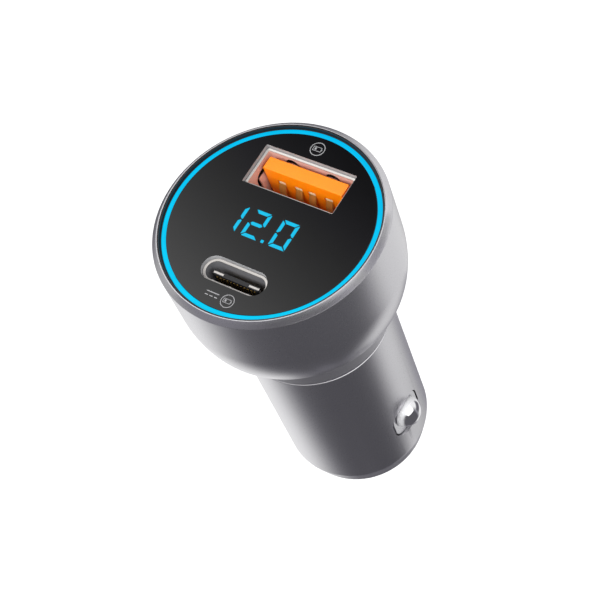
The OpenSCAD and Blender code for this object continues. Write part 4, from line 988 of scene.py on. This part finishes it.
coined(small_shell, lambda x, y: off_line(x, y) < (SMALL_H - SMALL_WALL) / 2)
cap = arc(0, -0.12, DIMPLE_R, DIMPLE_R, 80, 0, 8)
for x in (-0.29 * SMALL_W, 0, 0.29 * SMALL_W):
    dimple = turned_piece("dimple", [(0, 0.16)] + cap + [(DIMPLE_R, -0.25), (0, -0.25)], 24)
    foot = Vector((x, SMALL_Y - SMALL_H / 2 + SMALL_WALL, MOUTH_Z - 0.35)) * MM
    dimple.data.transform(Matrix.Translation(foot) @ Matrix.Rotation(-pi / 2, 4, "X"))
    cut_away(small_shell, dimple, "UNION")
mark_creases(small_shell.data)
finish_piece(small_shell, port_steel, "port_steel", "port_c_shell")

# The same steel inside, dull, with drawing lines of 0.08 mm; its darker grey is painted shade of
# the narrow bore.
bore_painted_shade = grained("drawn_steel_painted_shade", 0.08, ("#8A8A8E", "#7C7C80"), detail=1.0, Metallic=0.3,
                     Roughness=0.5)
second_finish(small_shell, bore_painted_shade, lambda at, way: (
    off_line(at.x, at.y) < SMALL_H / 2 - SMALL_WALL + 0.02 and at.z < MOUTH_Z - 0.16))

# Small port, tongue
# A thin black moulding: the plug in the shell's foot and the tongue round a steel plate,
# slotted at both ends where the plate's shoulders show.
BLADE_W, BLADE_T, BLADE_END, PLUG_TOP = 6.7, 0.6, 15.57, 8.57
SHOULDER_W, SHOULDER_T = 1.5, 0.34
room = 2 * (SMALL_WALL + BLOCK_GAP)
foot = moved(slot_outline(SMALL_W - room, SMALL_H - room), 0, SMALL_Y)
small_tongue = plate("small_port_tongue", foot, SMALL_FOOT, PLUG_TOP, 0.05)
cut_away(small_tongue, plate("blade", moved(round_rect(BLADE_W, BLADE_T, 0.08, 4), 0, SMALL_Y),
                             PLUG_TOP - 0.5, BLADE_END, 0.06), "UNION")
for side in (-1, 1):
    ends = sorted((side * (BLADE_W / 2 - SHOULDER_W), side * (BLADE_W / 2 + 0.5)))
    outline = box_outline(*ends, SMALL_Y - SHOULDER_T / 2, SMALL_Y + SHOULDER_T / 2)
    cut_away(small_tongue, plate("shoulder_slot", outline, PLUG_TOP + 0.01, BLADE_END + 1))
finish_piece(small_tongue, black_abs, "black_plastic", "port_c_tongue")

# Small port, plate
# The stamped steel plate that the tongue is moulded round. Only its two shoulders show.
shoulders = [plate("shoulder", moved(round_rect(SHOULDER_W - 0.02, SHOULDER_T - 0.02, 0.04, 3),
                                     side * (BLADE_W - SHOULDER_W) / 2, SMALL_Y),
                   PLUG_TOP + 0.02, BLADE_END, 0.05) for side in (-1, 1)]
tongue_plate = merged("small_port_plate", shoulders)
finish_piece(tongue_plate, port_steel, "port_steel", "port_c_plate")

# Small port, contacts
# Twelve gold-plated lands in a row on each side of the tongue.
PAD_COUNT, PAD_PITCH, LAND_W, LAND_T, LAND_L, LAND_TOP = 12, 0.5, 0.25, 0.05, 4.2, 15.17
lands = [plate("land", moved(round_rect(LAND_W, LAND_T, 0.015, 2),
                             (i - (PAD_COUNT - 1) / 2) * PAD_PITCH,
                             SMALL_Y + side * (BLADE_T + LAND_T) / 2),
               LAND_TOP - LAND_L, LAND_TOP, 0.02, (), 0.02)
         for side in (-1, 1) for i in range(PAD_COUNT)]

# Hard gold, worn by plugs in marks of 0.1 mm: smooth, so it mirrors the dark gap round it.
hard_gold = grained("hard_gold_plate", 0.1, ("#D8B466", "#C8A458"), (0.08, 0.16), Metallic=1.0)
finish_piece(merged("small_port_contacts", lands), hard_gold, "gilt", "port_c_contacts")

# Inner works
# What the closed housing hides stays as the frame's own solids, each in its real material:
# mouldings, boards and the parts soldered to them.


def dress(material, *nodes):
    """Gives the frame's own solids a material."""
    for name in nodes:
        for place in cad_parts[name].material_slots:
            place.material = material


dress(black_abs, "port_c_base")

# Moulded white nylon with a matt, finely grained skin, 0.3 mm.
white_nylon = grained("matt_white_nylon", 0.3, ("#E4E3DE", "#EEEDE9"), None, (0.2, 0.03), 3.0,
                      Roughness=0.5, IOR=1.53)
dress(white_nylon, "contact_carrier", "display_housing")

# Glass-fibre board under green solder lacquer: glossy, with its weave just showing. The real
# weave of 0.5 mm is drawn 1.1427 mm wide; at scale 1 a diagonal wave is 362.76 mm wide.
green_board, tree, out, place = new_material("lacquered_glass_fibre_board")
weave = add(tree, "TexWave", {"bands_direction": "DIAGONAL"}, Vector=place,
            Scale=362.76 / 1.1427, Distortion=0.6)
surface(tree, out, weave.outputs[1], ("#0E5A34", "#136A40"), None, (0.15, 0.02), Roughness=0.3,
        Coat_Weight=0.5, Coat_Roughness=0.12)
dress(green_board, "round_board", "ring_board", "display_board", "power_board")

# The remaining metals, resins and ceramics: name, colours, metallic, roughness, and the size
# in millimetres of the grain that each one's making leaves.
for name, low, high, metallic, rough, size, nodes in (
        ("drawn_spring_steel", "#B4B4B6", "#C6C6C8", 1.0, 0.28, 0.1,
         ("tip_spring", "side_spring_right", "side_spring_left")),
        ("stamped_brass", "#D9B872", "#C9A55C", 1.0, 0.27, 0.15,
         ("tip_terminal", "ground_pads", "header_pins")),
        ("cast_lamp_resin", "#EFE6A8", "#F6F0C0", 0.0, 0.25, 0.3, ("ring_lamps",)),
        ("pressed_ferrite", "#3A3A3D", "#4A4A4E", 0.0, 0.7, 0.12, ("power_coil",)),
        ("drawn_aluminium_can", "#C8C8CC", "#D6D6DA", 1.0, 0.3, 0.2,
         ("input_capacitor", "output_capacitor")),
        ("moulded_chip_resin", "#1C1C1E", "#262628", 0.0, 0.55, 0.1, ("control_chips",)),
        ("fired_ceramic", "#B09064", "#C2A276", 0.0, 0.45, 0.1,
         ("small_capacitors", "board_fuse"))):
    made = grained(name, size, (low, high), (rough - 0.05, rough + 0.08), (0.15, 0.02), 3.0,
                   Metallic=metallic)
    dress(made, *nodes)

# Springs
# Each spring stands for its own node, as a copy of the frame's coils in drawn spring steel. On
# the real charger it shortens as its contact goes in: the tip's towards the terminal above it, the
# side ones towards the board.
for name, joint, travel, axis, inward in (
        ("tip_spring", "tip_press", 2.3, 2, 1),
        ("side_spring_right", "right_contact_press", 1.95, 0, -1),
        ("side_spring_left", "left_contact_press", 1.95, 0, 1)):
    low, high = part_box(name)
    spring = placed(name + "_coils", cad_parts[name].data.copy())
    spring.data.materials.clear()
    finish_piece(spring, bpy.data.materials["drawn_spring_steel"], "spring_steel", name)
    spring.modifiers.clear()
    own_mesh(spring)
